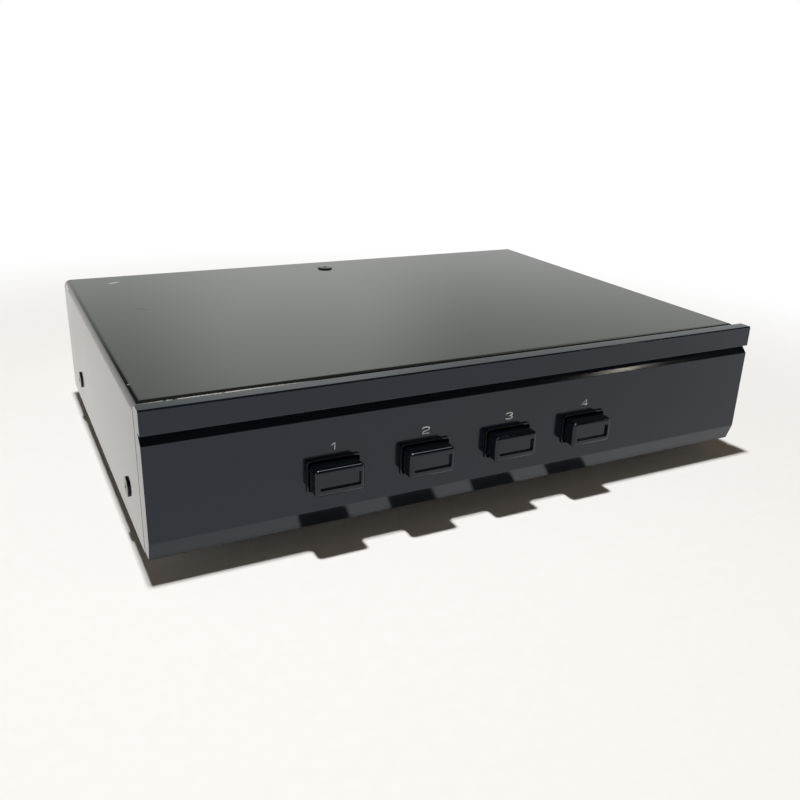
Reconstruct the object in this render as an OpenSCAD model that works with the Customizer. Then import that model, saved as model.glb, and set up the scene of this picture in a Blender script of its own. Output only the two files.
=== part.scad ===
// Speaker selector switch: a flat steel case with a solid aluminium front panel and four
// latching push buttons, each of which switches one pair of loudspeakers.
// X runs along the front, Y from the front to the back, Z up from the table.

/* [Case] */
// Width of the case and of the front panel
case_w = 216; // [208:1:240]
// Depth of the case behind the front panel
case_d = 147; // [140:1:170]
// Height of the sides of the top cover
case_h = 44.6; // [43.6:0.2:54]
// Thickness of the top cover sheet
cover_t = 1; // [0.8:0.1:1.2]
// Outside radius of the bend between the top and the sides
cover_bend_r = 2.6; // [2:0.1:4]
// Gap between the front edge of the cover and the front panel
cover_gap = 0.4; // [0.3:0.1:0.8]
// Side play between the cover and the chassis
cover_fit = 0.1; // [0.05:0.05:0.2]
// Thickness of the chassis sheet
base_t = 1.2; // [1:0.1:1.5]
// Outside radius of the chassis bends
base_bend_r = 2.2; // [1.8:0.1:3]
// Height of the side flanges of the chassis
side_flange_h = 17; // [16:0.5:22]
// Relief between a side flange and the bends at its ends
flange_relief = 4; // [3:0.5:6]
// Depth of the flange along the top of the rear panel
rear_flange_d = 18; // [16:0.5:24]
// Distance of the rear panel in from the rear edge of the cover
rear_inset = 0.5; // [0.3:0.1:1.5]

/* [Front panel] */
// Thickness of the front panel
panel_t = 7.2; // [6.4:0.1:9]
// Height of the panel's lower edge above the bottom of the case
panel_lift = 0.9; // [0.5:0.1:2]
// Height of the panel's lip above the cover
lip_rise = 0.7; // [0.3:0.1:1.2]
// Height of the lip
lip_h = 7.2; // [6:0.1:9]
// Bevel along the front of the lip's top
lip_bevel = 0.4; // [0.2:0.1:0.8]
// Bevel along the back of the lip's top
lip_back_bevel = 1.4; // [0.8:0.1:2]
// Height of the groove under the lip
groove_h = 2.8; // [2.2:0.1:3.6]
// Depth of the groove under the lip
groove_d = 2.6; // [1.8:0.1:3]
// Height of the bevel along the lower edge
chamfer_h = 5.8; // [4:0.1:7]
// Set-back of the bevel along the lower edge
chamfer_d = 1.9; // [1:0.1:3]

/* [Buttons] */
// Distance between neighbouring buttons
button_pitch = 30; // [27:0.5:32]
// Middle of the row of buttons, from the middle of the panel
button_row_x = -9.7; // [-16:0.1:8]
// Height of the buttons' axis above the bottom of the case
button_h = 17.8; // [17:0.1:20]
// Width of a button cap
cap_w = 15.6; // [14:0.1:17]
// Height of a button cap
cap_h = 8.4; // [7.6:0.1:9.4]
// How far a cap reaches behind the panel when it is out
cap_back = 1.5; // [1:0.1:2]
// How far a cap stands out of the panel when it is out
cap_out = 5.6; // [5:0.1:6.4]
// Radius of a cap's edges
cap_edge_r = 1.3; // [0.6:0.1:1.4]
// Wall of a cap
cap_wall = 1.2; // [1:0.1:1.5]
// Thickness of a cap's front
cap_front_t = 2.6; // [2:0.1:3.2]
// Border of a cap's front at the sides of its sunk field
field_side = 1.5; // [1.2:0.1:2]
// Border of a cap's front above and below its sunk field
field_border = 2.1; // [1.6:0.1:2.4]
// Depth of the sunk field
field_d = 0.8; // [0.3:0.1:1]
// Corner radius of the sunk field
field_r = 0.5; // [0.3:0.1:1]
// Running clearance round a cap
cap_gap = 0.2; // [0.15:0.05:0.35]
// Wall of the bezel round a cap
bezel_t = 0.5; // [0.4:0.1:1]
// Inside corner radius of a bezel
bezel_in_r = 0.8; // [0.5:0.1:1]
// How far a bezel's middle lies above its button's axis, for the play above the cap
bezel_rise = 0.25; // [0:0.05:0.3]
// How far a bezel stands out of the panel
bezel_out = 0.6; // [0.4:0.1:1.5]
// Width of the flange that holds a bezel between the panel and the chassis
bezel_flange_w = 1.8; // [1.2:0.1:2.2]
// Thickness of that flange
bezel_flange_t = 1; // [0.8:0.1:1.4]
// Clearance of a bezel in the panel
bezel_fit = 0.05; // [0.03:0.01:0.1]
// Clearance of a bezel's flange in its recess in the panel
flange_fit = 0.1; // [0.05:0.05:0.2]

/* [Switches] */
// Travel of a button
travel = 3.5; // [3:0.1:3.8]
// Distance of a switch housing behind the panel
housing_y = 12.5; // [12:0.1:13.5]
// Width of a switch housing
housing_w = 14; // [13:0.1:15]
// Length of a switch housing
housing_l = 26; // [25.5:0.1:28]
// Height of the slider's axis above the circuit board
housing_axis_h = 5.5; // [5.3:0.1:6]
// Wall of a switch housing
housing_t = 1.2; // [1:0.1:1.3]
// Width of a slider's shaft
shaft_w = 4; // [3.6:0.1:4.1]
// Height of a slider's shaft
shaft_h = 3.4; // [3:0.1:3.5]
// Clearance of the shaft in the housing
shaft_gap = 0.1; // [0.08:0.01:0.15]
// Wall of the boss in a cap that grips the shaft
boss_t = 1; // [0.8:0.1:1.2]
// Depth of the shaft in its cap
socket_d = 7; // [5:0.1:8]
// Clearance of the shaft in its cap
socket_fit = 0.03; // [0.02:0.01:0.05]
// Gap between a cap and the collar on the shaft
collar_gap = 1.2; // [0.6:0.1:1.4]
// Thickness of the collar
collar_t = 1; // [0.8:0.1:1.2]
// Radius of the collar
collar_r = 3.6; // [3.4:0.1:3.9]
// Height of the slider's block
block_h = 4.8; // [4.4:0.1:5]
// Play of the slider's block at each side
block_gap = 0.15; // [0.1:0.05:0.2]
// Free length left behind the block at full travel
block_end_gap = 1; // [0.5:0.1:1.5]
// Gap between the block and the front wall at rest
block_stop_gap = 0.3; // [0.2:0.1:0.5]
// Thickness of the block's guide fins
fin_t = 1; // [0.8:0.1:1.1]

/* [Return springs] */
// Radius of the spring wire
spring_wire_r = 0.25; // [0.2:0.05:0.3]
// Radius of a spring's coil, to the middle of the wire
spring_r = 3; // [2.95:0.05:3.2]
// Turns of a spring
spring_turns = 7; // [5:1:7]
// Gap between a spring and its two seats
spring_end_gap = 0.05; // [0.02:0.01:0.1]

/* [Contacts and latch] */
// Radius of a contact pin
contact_r = 0.4; // [0.3:0.05:0.45]
// Distance of a row of contact pins from a switch's middle
contact_x = 3.4; // [3.2:0.1:3.5]
// Distance of the first contact pin behind the housing's front
contact_front = 4.5; // [4:0.1:5]
// Height of the contact pins above the housing's floor
contact_tip_h = 0.9; // [0.7:0.1:1]
// Clearance round a contact pin, terminal pin or lead in its hole
pin_gap = 0.05; // [0.03:0.01:0.1]
// Length of the pins below the circuit board
pin_tail = 2; // [1.5:0.1:3]
// Width of a moving contact bridge
bridge_w = 1.4; // [1:0.1:1.6]
// Thickness of a moving contact bridge
bridge_t = 0.4; // [0.3:0.05:0.5]
// Depth of the pocket that holds a bridge
bridge_pocket_d = 0.5; // [0.4:0.1:0.7]
// Clearance between a bridge's domes and the contact pins
bridge_gap = 0.05; // [0.03:0.01:0.1]
// Radius of the latch wire
latch_r = 0.4; // [0.3:0.05:0.45]
// Sideways distance of the latch wire from the slider's middle
latch_x = 1.3; // [1.2:0.05:1.5]
// Distance of the latch wire's tip behind the housing's front
latch_tip_y = 9.5; // [9:0.1:10.5]
// Length of the latch wire between its two legs
latch_l = 14; // [13.8:0.1:14.5]
// Depth of the latch track in the slider
track_d = 1.6; // [1.2:0.1:1.8]
// Width of the latch track
track_w = 4.2; // [4:0.1:4.6]
// Width of the island in the middle of the latch track
island_w = 1.2; // [0.8:0.1:1.3]

/* [Circuit board] */
// Thickness of the circuit board
board_t = 1.6; // [1.4:0.1:2]
// Distance of the board from each side of the case
board_side = 14; // [12:0.5:16]
// Distance of the board behind the panel
board_y = 10; // [8:0.5:11]
// Gap between the board and the rear panel
board_rear_gap = 0.5; // [0.3:0.1:1]
// Radius of a standoff
standoff_r = 3; // [2.8:0.1:3.4]
// Radius of the spigot that rivets a standoff into the chassis
spigot_r = 2.1; // [2:0.1:2.4]
// Clearance of a spigot in the chassis
spigot_fit = 0.03; // [0.02:0.01:0.05]
// Distance of the standoffs in from the sides of the board
standoff_side = 6; // [5:0.5:6.5]
// Distance of the front standoffs from the front of the board
standoff_front = 6; // [5:0.5:8]
// Distance of the rear standoffs from the rear of the board
standoff_rear = 36; // [34:0.5:40]

/* [Protection resistors] */
// Width of a resistor
resistor_w = 9.5; // [8:0.5:10]
// Length of a resistor
resistor_l = 35; // [30:1:40]
// Height of a resistor
resistor_h = 9; // [8:0.5:10]
// Distance of the outer resistors from the sides of the board
resistor_side = 14; // [12:0.5:20]
// Distance of the resistors behind the panel
resistor_y = 56; // [50:1:60]
// Radius of a resistor's leads
lead_r = 0.4; // [0.3:0.05:0.5]
// Length of the leads beyond the ends of a resistor
lead_out = 3; // [2:0.5:4]

/* [Terminals] */
// Distance of the outer terminal blocks from the sides of the board
terminal_side = 6.6; // [6:0.1:10]
// Distance between the ways of one terminal block
way_pitch = 5.08; // [4.8:0.01:5.2]
// Gap between the one-way blocks that make up a plug
way_gap = 0.04; // [0.02:0.01:0.08]
// Width of a terminal socket beyond its four ways
socket_side = 1.2; // [1.15:0.05:1.5]
// Height of a terminal socket
socket_h = 11; // [10.6:0.1:12]
// Depth of a terminal socket
socket_l = 13; // [12.5:0.1:14]
// Wall of a terminal socket
socket_t = 1.1; // [0.9:0.05:1.1]
// Inner end wall of a terminal socket
socket_end_t = 3; // [2.5:0.1:3.4]
// How far a socket stands out of the rear panel
socket_out = 0.5; // [0.3:0.1:1]
// Clearance of a socket in the rear panel
socket_gap = 0.3; // [0.2:0.1:0.5]
// Clearance of a plug in its socket
plug_gap = 0.1; // [0.05:0.05:0.15]
// Length of a plug behind its socket
plug_out = 10.2; // [9.5:0.1:12]
// Height of a plug behind its socket
plug_h = 14.6; // [14:0.1:16]
// Gap between a plug and the bottom of its cavity's end
plug_end_gap = 0.5; // [0.3:0.1:1]
// Height of the wires' axis above the circuit board
wire_h = 5.2; // [5:0.1:5.5]
// Radius of a wire entry
wire_r = 1.4; // [1.2:0.05:1.5]
// Depth of a wire entry
wire_d = 8.2; // [7.8:0.1:8.6]
// Distance of the clamping screws from the plug's rear face
clamp_y = 5.6; // [5.4:0.1:6]
// Radius of a clamping screw's head
clamp_head_r = 1.6; // [1.4:0.05:1.7]
// Height of a clamping screw's head
clamp_head_h = 1.4; // [1.2:0.1:1.8]
// Radius of a clamping screw's shank
clamp_r = 1.2; // [1:0.05:1.3]
// How far a clamping screw's head lies below the plug's top
clamp_sunk = 0.6; // [0.3:0.1:1]
// Clearance round a clamping screw
clamp_gap = 0.1; // [0.05:0.05:0.2]
// Thickness of a terminal pin
pin_t = 1; // [0.8:0.1:1]
// Distance of the terminal pins in front of their socket
pin_leg_y = 2; // [1.5:0.1:3]
// Length of a terminal pin inside its cavity
pin_l = 7.5; // [6:0.1:8]

/* [Feet and screws] */
// Height of the rubber feet
foot_h = 6.2; // [5:0.1:8]
// Radius of a foot at the table
foot_r = 6.2; // [5.6:0.1:7]
// Radius of a foot at the chassis
foot_top_r = 7; // [6.4:0.1:8]
// Distance of the feet from the sides of the case
foot_x = 17; // [15:0.5:19]
// Distance of the feet from the front panel and from the rear panel
foot_y = 26; // [24:0.5:30]
// Rubber left under the head of a foot's screw
foot_web = 2.6; // [2:0.1:2.8]
// Radius of the cover screws' heads
head_r = 3.1; // [2.8:0.1:3.4]
// Height of the cover screws' heads
head_h = 0.7; // [0.6:0.05:1]
// Height of the rim of a domed head
head_rim = 0.3; // [0.2:0.05:0.4]
// Depth of the cross slot in a domed head
head_slot_d = 0.45; // [0.3:0.05:0.5]
// Radius of the screws' shanks
screw_r = 1.5; // [1.3:0.1:1.6]
// Length of the screws below the head
screw_l = 6; // [5:0.5:7]
// Clearance of a screw's thread
thread_gap = 0.05; // [0.03:0.01:0.08]
// Clearance of a screw that only passes through
pass_gap = 0.25; // [0.15:0.05:0.4]
// Radius of the small pan heads inside the case and under the feet
pan_r = 2.8; // [2.6:0.1:2.9]
// Height of the small pan heads
pan_h = 1.8; // [1.5:0.1:2.2]
// Length of a cross slot
slot_l = 3.2; // [2.8:0.1:3.6]
// Width of a cross slot
slot_w = 0.7; // [0.5:0.1:0.9]
// Depth of a cross slot
slot_d = 0.8; // [0.6:0.1:0.9]
// Height of the side screws above the bottom of the case
side_screw_h = 10.8; // [10:0.1:12]
// Distance of the front side screws behind the panel
side_screw_front = 21.5; // [18:0.5:30]
// Distance of the rear side screws from the rear of the case
side_screw_rear = 26; // [18:0.5:32]
// Distance of the top screw from the rear of the case
top_screw_rear = 12.4; // [11:0.1:13]
// Distance of the panel screws from the sides of the case
panel_screw_x = 12; // [11:0.5:14]
// Height of the lower panel screws above the bottom of the case
panel_screw_low = 9.5; // [9:0.5:12]
// Height of the upper panel screws above the bottom of the case
panel_screw_high = 30; // [28:0.5:31]
// Free depth left below a screw in a blind hole
hole_end_gap = 0.3; // [0.2:0.1:0.6]

/* [Hidden] */

$fn = 48;
// Fineness of small rounded edges that are built as hulls
edge_fn = 24;
// Overshoot of a cut past the face that it leaves
cut = 1;

// Front to back: the part is centred between the caps' faces and the plugs' rear faces
overall_d = cap_out + panel_t + case_d - rear_inset + socket_out + plug_out;
front_y = cap_out + panel_t - overall_d / 2;

// Chassis
base_w = case_w - 2 * (cover_t + cover_fit);
base_l = case_d - rear_inset;
base_h = case_h - cover_t;
base_top = foot_h + base_t;
rear_face = base_l - base_t;

// Front panel, heights above the bottom of the case
panel_top = case_h + lip_rise;
lip_bottom = panel_top - lip_h;
face_top = lip_bottom - groove_h;

// Buttons
button_z = foot_h + button_h;
function button_x(n) = button_row_x + (n - 2.5) * button_pitch;
cap_front = -(panel_t + cap_out);
cap_l = cap_out + panel_t + cap_back;
cap_rear = cap_front + cap_l;
cap_hollow_w = (cap_w - shaft_w) / 2 - cap_wall - boss_t;
bezel_in_w = cap_w + 2 * cap_gap;
bezel_in_h = cap_h + 2 * (cap_gap + bezel_rise);
bezel_w = bezel_in_w + 2 * bezel_t;
bezel_h = bezel_in_h + 2 * bezel_t;
bezel_r = bezel_in_r + bezel_t;
flange_w = bezel_w + 2 * bezel_flange_w;
flange_h = bezel_h + 2 * bezel_flange_w;

// Switches, lengths from the back of the panel and heights from the slider's axis.
// A spring has 8 rings in a turn, and its wire has 6 sides.
housing_h = 2 * housing_axis_h;
cavity_w = housing_w - 2 * housing_t;
cavity_h = housing_h - 2 * housing_t;
cavity_floor = -cavity_h / 2;
block_w = cavity_w - 2 * block_gap;
block_front = housing_y + housing_t + block_stop_gap;
block_l = housing_l - housing_t - block_stop_gap - travel - block_end_gap;
collar_front = cap_rear + collar_gap;
spring_start = collar_front + collar_t;
spring_l = housing_y - spring_start;
spring_lead = spring_wire_r + spring_end_gap;
spring_rings = 8;
spring_sides = 6;
spring_last = spring_turns * spring_rings;
spring_rise = (spring_l - 2 * spring_lead) / spring_last;
contact_top = cavity_floor + contact_tip_h;
contact_row_y = housing_y + contact_front;
bridge_top = bridge_pocket_d - block_h / 2;
bridge_dome_r = (bridge_top - bridge_t / 2 - contact_top - bridge_gap) / 2;
bridge_l = travel + 2 * bridge_dome_r;
latch_y = housing_y + latch_tip_y;
latch_tip_z = block_h / 2 - track_d + latch_r / 2;
latch_bar_z = (block_h / 2 + cavity_h / 2) / 2;
track_front = latch_y - travel - latch_r - block_gap;
track_l = travel + 2 * (latch_r + block_gap);

// Circuit board
board_z = button_z - housing_axis_h;
board_w = case_w - 2 * board_side;
board_l = rear_face - board_rear_gap - board_y;
standoff_h = board_z - board_t - base_top;
standoff_x = board_w / 2 - standoff_side;
standoff_first = board_y + standoff_front;
standoff_last = board_y + board_l - standoff_rear;
standoff_middle = (housing_y + housing_l + resistor_y - lead_out) / 2;
standoff_rows = [standoff_first, standoff_middle, standoff_last];

// Terminals, lengths from the back of the panel and heights from the circuit board
WAYS = [-1.5, -0.5, 0.5, 1.5];
socket_w = 4 * way_pitch + 2 * socket_side;
way_w = way_pitch - way_gap;
socket_y = base_l + socket_out - socket_l;
socket_in_w = socket_w - 2 * socket_t;
socket_in_h = socket_h - 2 * socket_t;
plug_nose_l = socket_l - socket_end_t - plug_end_gap;
plug_face_y = socket_y + socket_l;
plug_back_y = plug_face_y + plug_out;
pin_start_y = socket_y - pin_leg_y;
pin_end_y = socket_y + socket_end_t + pin_l;
pin_hole_l = pin_l - plug_end_gap + plug_gap;
pin_hole_r = norm([pin_t, pin_t]) / 2 + pin_gap;
clamp_seat_z = plug_gap + plug_h - clamp_sunk - clamp_head_h;
clamp_shank_l = clamp_seat_z - wire_h - wire_r - clamp_gap;
terminal_pitch = (board_w - socket_w - 2 * terminal_side) / 4;
function terminal_x(i) = (i - 2) * terminal_pitch;

// Resistors, in rows counted from the middle of the board
resistor_rows = [-3.5, -2.5, -1.5, -0.5, 0.5, 1.5, 2.5, 3.5];
resistor_pitch = (board_w - resistor_w - 2 * resistor_side) / 7;

// Colours
black_paint = [0.09, 0.09, 0.09];
black_anodised = [0.14, 0.15, 0.16];
gloss_black = [0.03, 0.03, 0.035];
zinc = [0.62, 0.63, 0.62];
brass_colour = [0.75, 0.6, 0.3];
board_green = [0.07, 0.3, 0.16];
terminal_green = [0.16, 0.45, 0.25];

// A rectangle with round corners, centred
module round_rect(w, h, r) {
    square([w - 2 * r, h], center = true);
    square([w, h - 2 * r], center = true);
    for (x = [-1, 1], y = [-1, 1])
        translate([x * (w / 2 - r), y * (h / 2 - r)])
            circle(r = r);
}

// A rectangle that stands on the X axis, with its two upper corners round
module arch(w, h, r) {
    translate([-w / 2, 0])
        square([w, h - r]);
    translate([r - w / 2, 0])
        square([w - 2 * r, h]);
    for (x = [-1, 1])
        translate([x * (w / 2 - r), h - r])
            circle(r = r);
}

// Extrudes an outline drawn in X and Z, from y0 backwards
module along_y(y0, l) {
    translate([0, y0 + l, 0])
        rotate([90, 0, 0])
            linear_extrude(height = l)
                children();
}

// Extrudes an outline drawn in Y and Z, to both sides of the middle
module along_x(l) {
    rotate([90, 0, 90])
        linear_extrude(height = l, center = true)
            children();
}

// A block given by its middle in X, its front, its underside and its size
module block(x, y, z, size) {
    translate([x - size[0] / 2, y, z])
        cube(size);
}

// Moves to the back of the front panel, at the bottom of the case
module in_case() {
    translate([0, front_y, foot_h])
        children();
}

// Moves to the axis of one button, at the back of the front panel
module at_button(n) {
    translate([button_x(n), front_y, button_z])
        children();
}

// Moves to one terminal block, at the back of the front panel and the top of the board
module at_terminal(i) {
    translate([terminal_x(i), front_y, board_z])
        children();
}

// A low domed head with a cross slot, its underside at z = 0
module domed_head(r, h) {
    dome = h - head_rim;
    dome_r = (r * r + dome * dome) / (2 * dome);
    difference() {
        intersection() {
            cylinder(h = h, r = r);
            translate([0, 0, h - dome_r])
                sphere(r = dome_r, $fn = 96);
        }
        cross_slot(h, head_slot_d);
    }
}

// The cross slot of a head whose top is at z = h
module cross_slot(h, d) {
    for (turn = [0, 90])
        rotate([0, 0, turn])
            translate([-slot_l / 2, -slot_w / 2, h - d])
                cube([slot_l, slot_w, d + cut]);
}

// A cover screw, its head above z = 0 and its shank below
module cover_screw() {
    domed_head(head_r, head_h);
    translate([0, 0, -screw_l])
        cylinder(h = screw_l + head_h - head_slot_d, r = screw_r);
}

// A small pan head screw, its head above z = 0 and its shank below
module pan_screw(l) {
    difference() {
        cylinder(h = pan_h, r = pan_r);
        cross_slot(pan_h, slot_d);
    }
    translate([0, 0, -l])
        cylinder(h = l + pan_h - slot_d, r = screw_r);
}

// The places of the screws, feet and standoffs: screws have their heads towards +Z

module at_side_screws() {
    for (side = [-1, 1], y = [side_screw_front, case_d - side_screw_rear])
        translate([side * case_w / 2, y, side_screw_h])
            rotate([0, side * 90, 0])
                children();
}

module at_top_screw() {
    translate([0, case_d - top_screw_rear, case_h])
        children();
}

module at_panel_screws() {
    for (side = [-1, 1], z = [panel_screw_low, panel_screw_high])
        translate([side * (case_w / 2 - panel_screw_x), 0, z])
            rotate([-90, 0, 0])
                children();
}

module at_feet() {
    for (side = [-1, 1], y = [foot_y, base_l - foot_y])
        translate([side * (case_w / 2 - foot_x), y, 0])
            children();
}

module at_standoffs() {
    for (side = [-1, 1], y = standoff_rows)
        translate([side * standoff_x, front_y + y, 0])
            children();
}

// Case

module top_cover() color(black_paint) in_case() difference() {
    along_y(cover_gap, case_d - cover_gap)
        difference() {
            arch(case_w, case_h, cover_bend_r);
            translate([0, -cut])
                arch(case_w - 2 * cover_t, case_h - cover_t + cut, cover_bend_r - cover_t);
        }
    at_side_screws()
        translate([0, 0, -cover_t - cut])
            cylinder(h = cover_t + 2 * cut, r = screw_r + pass_gap);
    at_top_screw()
        translate([0, 0, -cover_t - cut])
            cylinder(h = cover_t + 2 * cut, r = screw_r + pass_gap);
}

// Outline of the chassis in Y and Z: bottom, front upstand, rear panel and rear flange
module chassis_section() {
    difference() {
        translate([base_l / 2, base_h / 2])
            round_rect(base_l, base_h, base_bend_r);
        translate([base_l / 2, base_h / 2])
            round_rect(base_l - 2 * base_t, base_h - 2 * base_t, base_bend_r - base_t);
        translate([-cut, base_h - base_bend_r])
            square([base_l - rear_flange_d + cut, base_bend_r + cut]);
    }
}

module chassis_base() color(zinc) in_case() difference() {
    union() {
        along_x(base_w)
            chassis_section();
        for (side = [-1, 1])
            block(side * (base_w - base_t) / 2, flange_relief, 0,
                  [base_t, rear_face - 2 * flange_relief, side_flange_h]);
    }
    for (side = [-1, 1])
        block(side * base_w / 2, -cut, base_h - cover_bend_r,
              [2 * cover_bend_r, base_l + 2 * cut, cover_bend_r + cut]);
    for (n = [1 : 4])
        translate([button_x(n), 0, button_h + bezel_rise])
            along_y(-cut, base_t + 2 * cut)
                round_rect(bezel_w, bezel_h, bezel_r);
    for (i = [0 : 4])
        translate([terminal_x(i), 0, board_z - foot_h])
            block(0, rear_face - cut, -socket_gap,
                  [socket_w + 2 * socket_gap, base_t + 2 * cut, socket_h + 2 * socket_gap]);
    at_side_screws()
        translate([0, 0, -cover_t - cover_fit - base_t - cut])
            cylinder(h = base_t + 2 * cut, r = screw_r + thread_gap);
    at_top_screw()
        translate([0, 0, -cover_t - base_t - cut])
            cylinder(h = base_t + 2 * cut, r = screw_r + thread_gap);
    at_panel_screws()
        translate([0, 0, -cut])
            cylinder(h = base_t + 2 * cut, r = screw_r + pass_gap);
    at_feet()
        translate([0, 0, -cut])
            cylinder(h = base_t + 2 * cut, r = screw_r + thread_gap);
    translate([0, -front_y, 0])
        at_standoffs()
            translate([0, 0, -cut])
                cylinder(h = base_t + 2 * cut, r = spigot_r + spigot_fit);
}

// Outline of the front panel in Y and Z, its back on the Z axis
module panel_section() {
    polygon([
        [0, panel_lift],
        [0, case_h],
        [-lip_back_bevel, panel_top],
        [lip_bevel - panel_t, panel_top],
        [-panel_t, panel_top - lip_bevel],
        [-panel_t, lip_bottom],
        [groove_d - panel_t, lip_bottom],
        [-panel_t, face_top],
        [-panel_t, panel_lift + chamfer_h],
        [chamfer_d - panel_t, panel_lift]
    ]);
}

module front_panel() color(black_anodised) in_case() difference() {
    along_x(case_w)
        panel_section();
    for (n = [1 : 4])
        translate([button_x(n), 0, button_h + bezel_rise]) {
            along_y(-panel_t - cut, panel_t + 2 * cut)
                round_rect(bezel_w + 2 * bezel_fit, bezel_h + 2 * bezel_fit,
                           bezel_r + bezel_fit);
            along_y(-bezel_flange_t - bezel_fit, bezel_flange_t + bezel_fit + cut)
                round_rect(flange_w + 2 * flange_fit, flange_h + 2 * flange_fit,
                           bezel_r + flange_fit);
        }
    at_panel_screws()
        translate([0, 0, base_t - screw_l - hole_end_gap])
            cylinder(h = screw_l + hole_end_gap, r = screw_r + thread_gap);
}

module front_panel_screws() color(zinc) in_case() at_panel_screws()
    translate([0, 0, base_t])
        pan_screw(screw_l);

module cover_side_screws() color(gloss_black) in_case() at_side_screws() cover_screw();

module cover_rear_screw() color(gloss_black) in_case() at_top_screw() cover_screw();

// Feet

// A foot at one corner: side is -1 or 1, y its place behind the panel
module foot(side, y) color([0.05, 0.05, 0.05])
    translate([side * (case_w / 2 - foot_x), front_y + y, 0]) difference() {
        cylinder(h = foot_h, r1 = foot_r, r2 = foot_top_r);
        translate([0, 0, -cut])
            cylinder(h = foot_h - foot_web + cut, r = pan_r + pass_gap);
        cylinder(h = foot_h + cut, r = screw_r + pass_gap);
    }

module foot_screws() color(zinc) in_case() at_feet()
    translate([0, 0, -foot_web])
        rotate([180, 0, 0])
            pan_screw(screw_l);

// Circuit board

module circuit_board() color(board_green) difference() {
    block(0, front_y + board_y, board_z - board_t, [board_w, board_l, board_t]);
    at_standoffs()
        translate([0, 0, board_z - board_t - cut])
            cylinder(h = board_t + 2 * cut, r = screw_r + pass_gap);
    for (n = [1 : 4])
        at_button(n)
            at_contacts()
                translate([0, 0, -housing_axis_h - board_t - cut])
                    cylinder(h = board_t + 2 * cut, r = contact_r + pin_gap, $fn = 24);
    for (i = [0 : 4], way = WAYS)
        at_terminal(i)
            translate([way * way_pitch, pin_start_y + pin_t / 2, -board_t - cut])
                cylinder(h = board_t + 2 * cut, r = pin_hole_r, $fn = 24);
    at_resistor_leads()
        translate([0, 0, -board_t - cut])
            cylinder(h = board_t + 2 * cut, r = lead_r + pin_gap, $fn = 24);
}

module board_standoffs() color(zinc) at_standoffs() difference() {
    union() {
        translate([0, 0, base_top])
            cylinder(h = standoff_h, r = standoff_r);
        translate([0, 0, foot_h])
            cylinder(h = base_t, r = spigot_r);
    }
    translate([0, 0, board_z - screw_l - hole_end_gap])
        cylinder(h = screw_l + hole_end_gap, r = screw_r + thread_gap);
}

module board_screws() color(zinc) at_standoffs()
    translate([0, 0, board_z])
        pan_screw(screw_l);

// Protection resistors, standing on the board

module at_resistors() {
    for (row = resistor_rows)
        translate([row * resistor_pitch, front_y + resistor_y, board_z])
            children();
}

module at_resistor_leads() {
    at_resistors()
        for (y = [-lead_out, resistor_l + lead_out])
            translate([0, y, 0])
                children();
}

module protection_resistors() color([0.9, 0.88, 0.82]) at_resistors() {
    block(0, 0, 0, [resistor_w, resistor_l, resistor_h]);
    translate([0, -lead_out, resistor_h / 2])
        rotate([-90, 0, 0])
            cylinder(h = resistor_l + 2 * lead_out, r = lead_r, $fn = 24);
    for (y = [-lead_out, resistor_l + lead_out])
        translate([0, y, -board_t - pin_tail])
            cylinder(h = board_t + pin_tail + resistor_h / 2 + lead_r, r = lead_r, $fn = 24);
}

// Buttons

module button_bezel(n) color(gloss_black) at_button(n) translate([0, 0, bezel_rise]) difference() {
    union() {
        along_y(-panel_t - bezel_out, panel_t + bezel_out)
            round_rect(bezel_w, bezel_h, bezel_r);
        along_y(-bezel_flange_t, bezel_flange_t)
            round_rect(flange_w, flange_h, bezel_r);
    }
    along_y(-panel_t - bezel_out - cut, panel_t + bezel_out + 2 * cut)
        round_rect(bezel_in_w, bezel_in_h, bezel_in_r);
}

// The outer form of a cap, with round front edges
module cap_form() {
    hull() {
        for (x = [-1, 1], z = [-1, 1])
            translate([x * (cap_w / 2 - cap_edge_r), cap_front + cap_edge_r,
                       z * (cap_h / 2 - cap_edge_r)])
                rotate([-90, 0, 0]) {
                    sphere(r = cap_edge_r, $fn = edge_fn);
                    cylinder(h = cap_l - cap_edge_r, r = cap_edge_r, $fn = edge_fn);
                }
    }
}

module button_cap(n) color(gloss_black) at_button(n) difference() {
    cap_form();
    along_y(cap_front - cut, field_d + cut)
        round_rect(cap_w - 2 * field_side, cap_h - 2 * field_border, field_r);
    for (side = [-1, 1])
        block(side * (cap_hollow_w + shaft_w + 2 * boss_t) / 2, cap_front + cap_front_t,
              cap_wall - cap_h / 2, [cap_hollow_w, cap_l, cap_h - 2 * cap_wall]);
    block(0, cap_rear - socket_d, -shaft_h / 2 - socket_fit,
          [shaft_w + 2 * socket_fit, socket_d + cut, shaft_h + 2 * socket_fit]);
}

// Switches

// The contact pins: each side is a pole pair, with three pins for each pole
module at_contacts() {
    for (side = [-1, 1], i = [0 : 5])
        translate([side * contact_x, contact_row_y + i * travel, 0])
            children();
}

module switch_housing(n) color([0.12, 0.12, 0.13]) at_button(n) difference() {
    block(0, housing_y, -housing_axis_h, [housing_w, housing_l, housing_h]);
    block(0, housing_y + housing_t, cavity_floor, [cavity_w, housing_l, cavity_h]);
    block(0, housing_y - cut, -shaft_h / 2 - shaft_gap,
          [shaft_w + 2 * shaft_gap, housing_t + 2 * cut, shaft_h + 2 * shaft_gap]);
    at_contacts()
        translate([0, 0, -housing_axis_h - cut])
            cylinder(h = housing_t + 2 * cut, r = contact_r + pin_gap, $fn = 24);
    translate([-latch_x, latch_y + latch_l, 0])
        cylinder(h = housing_h, r = latch_r + pin_gap, $fn = 24);
}

// The middles of the bridges, each above the pair of contact pins that it joins
module at_bridges() {
    for (side = [-1, 1], pole = [0, 3])
        translate([side * contact_x, contact_row_y + (pole + 0.5) * travel, 0])
            children();
}

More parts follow.
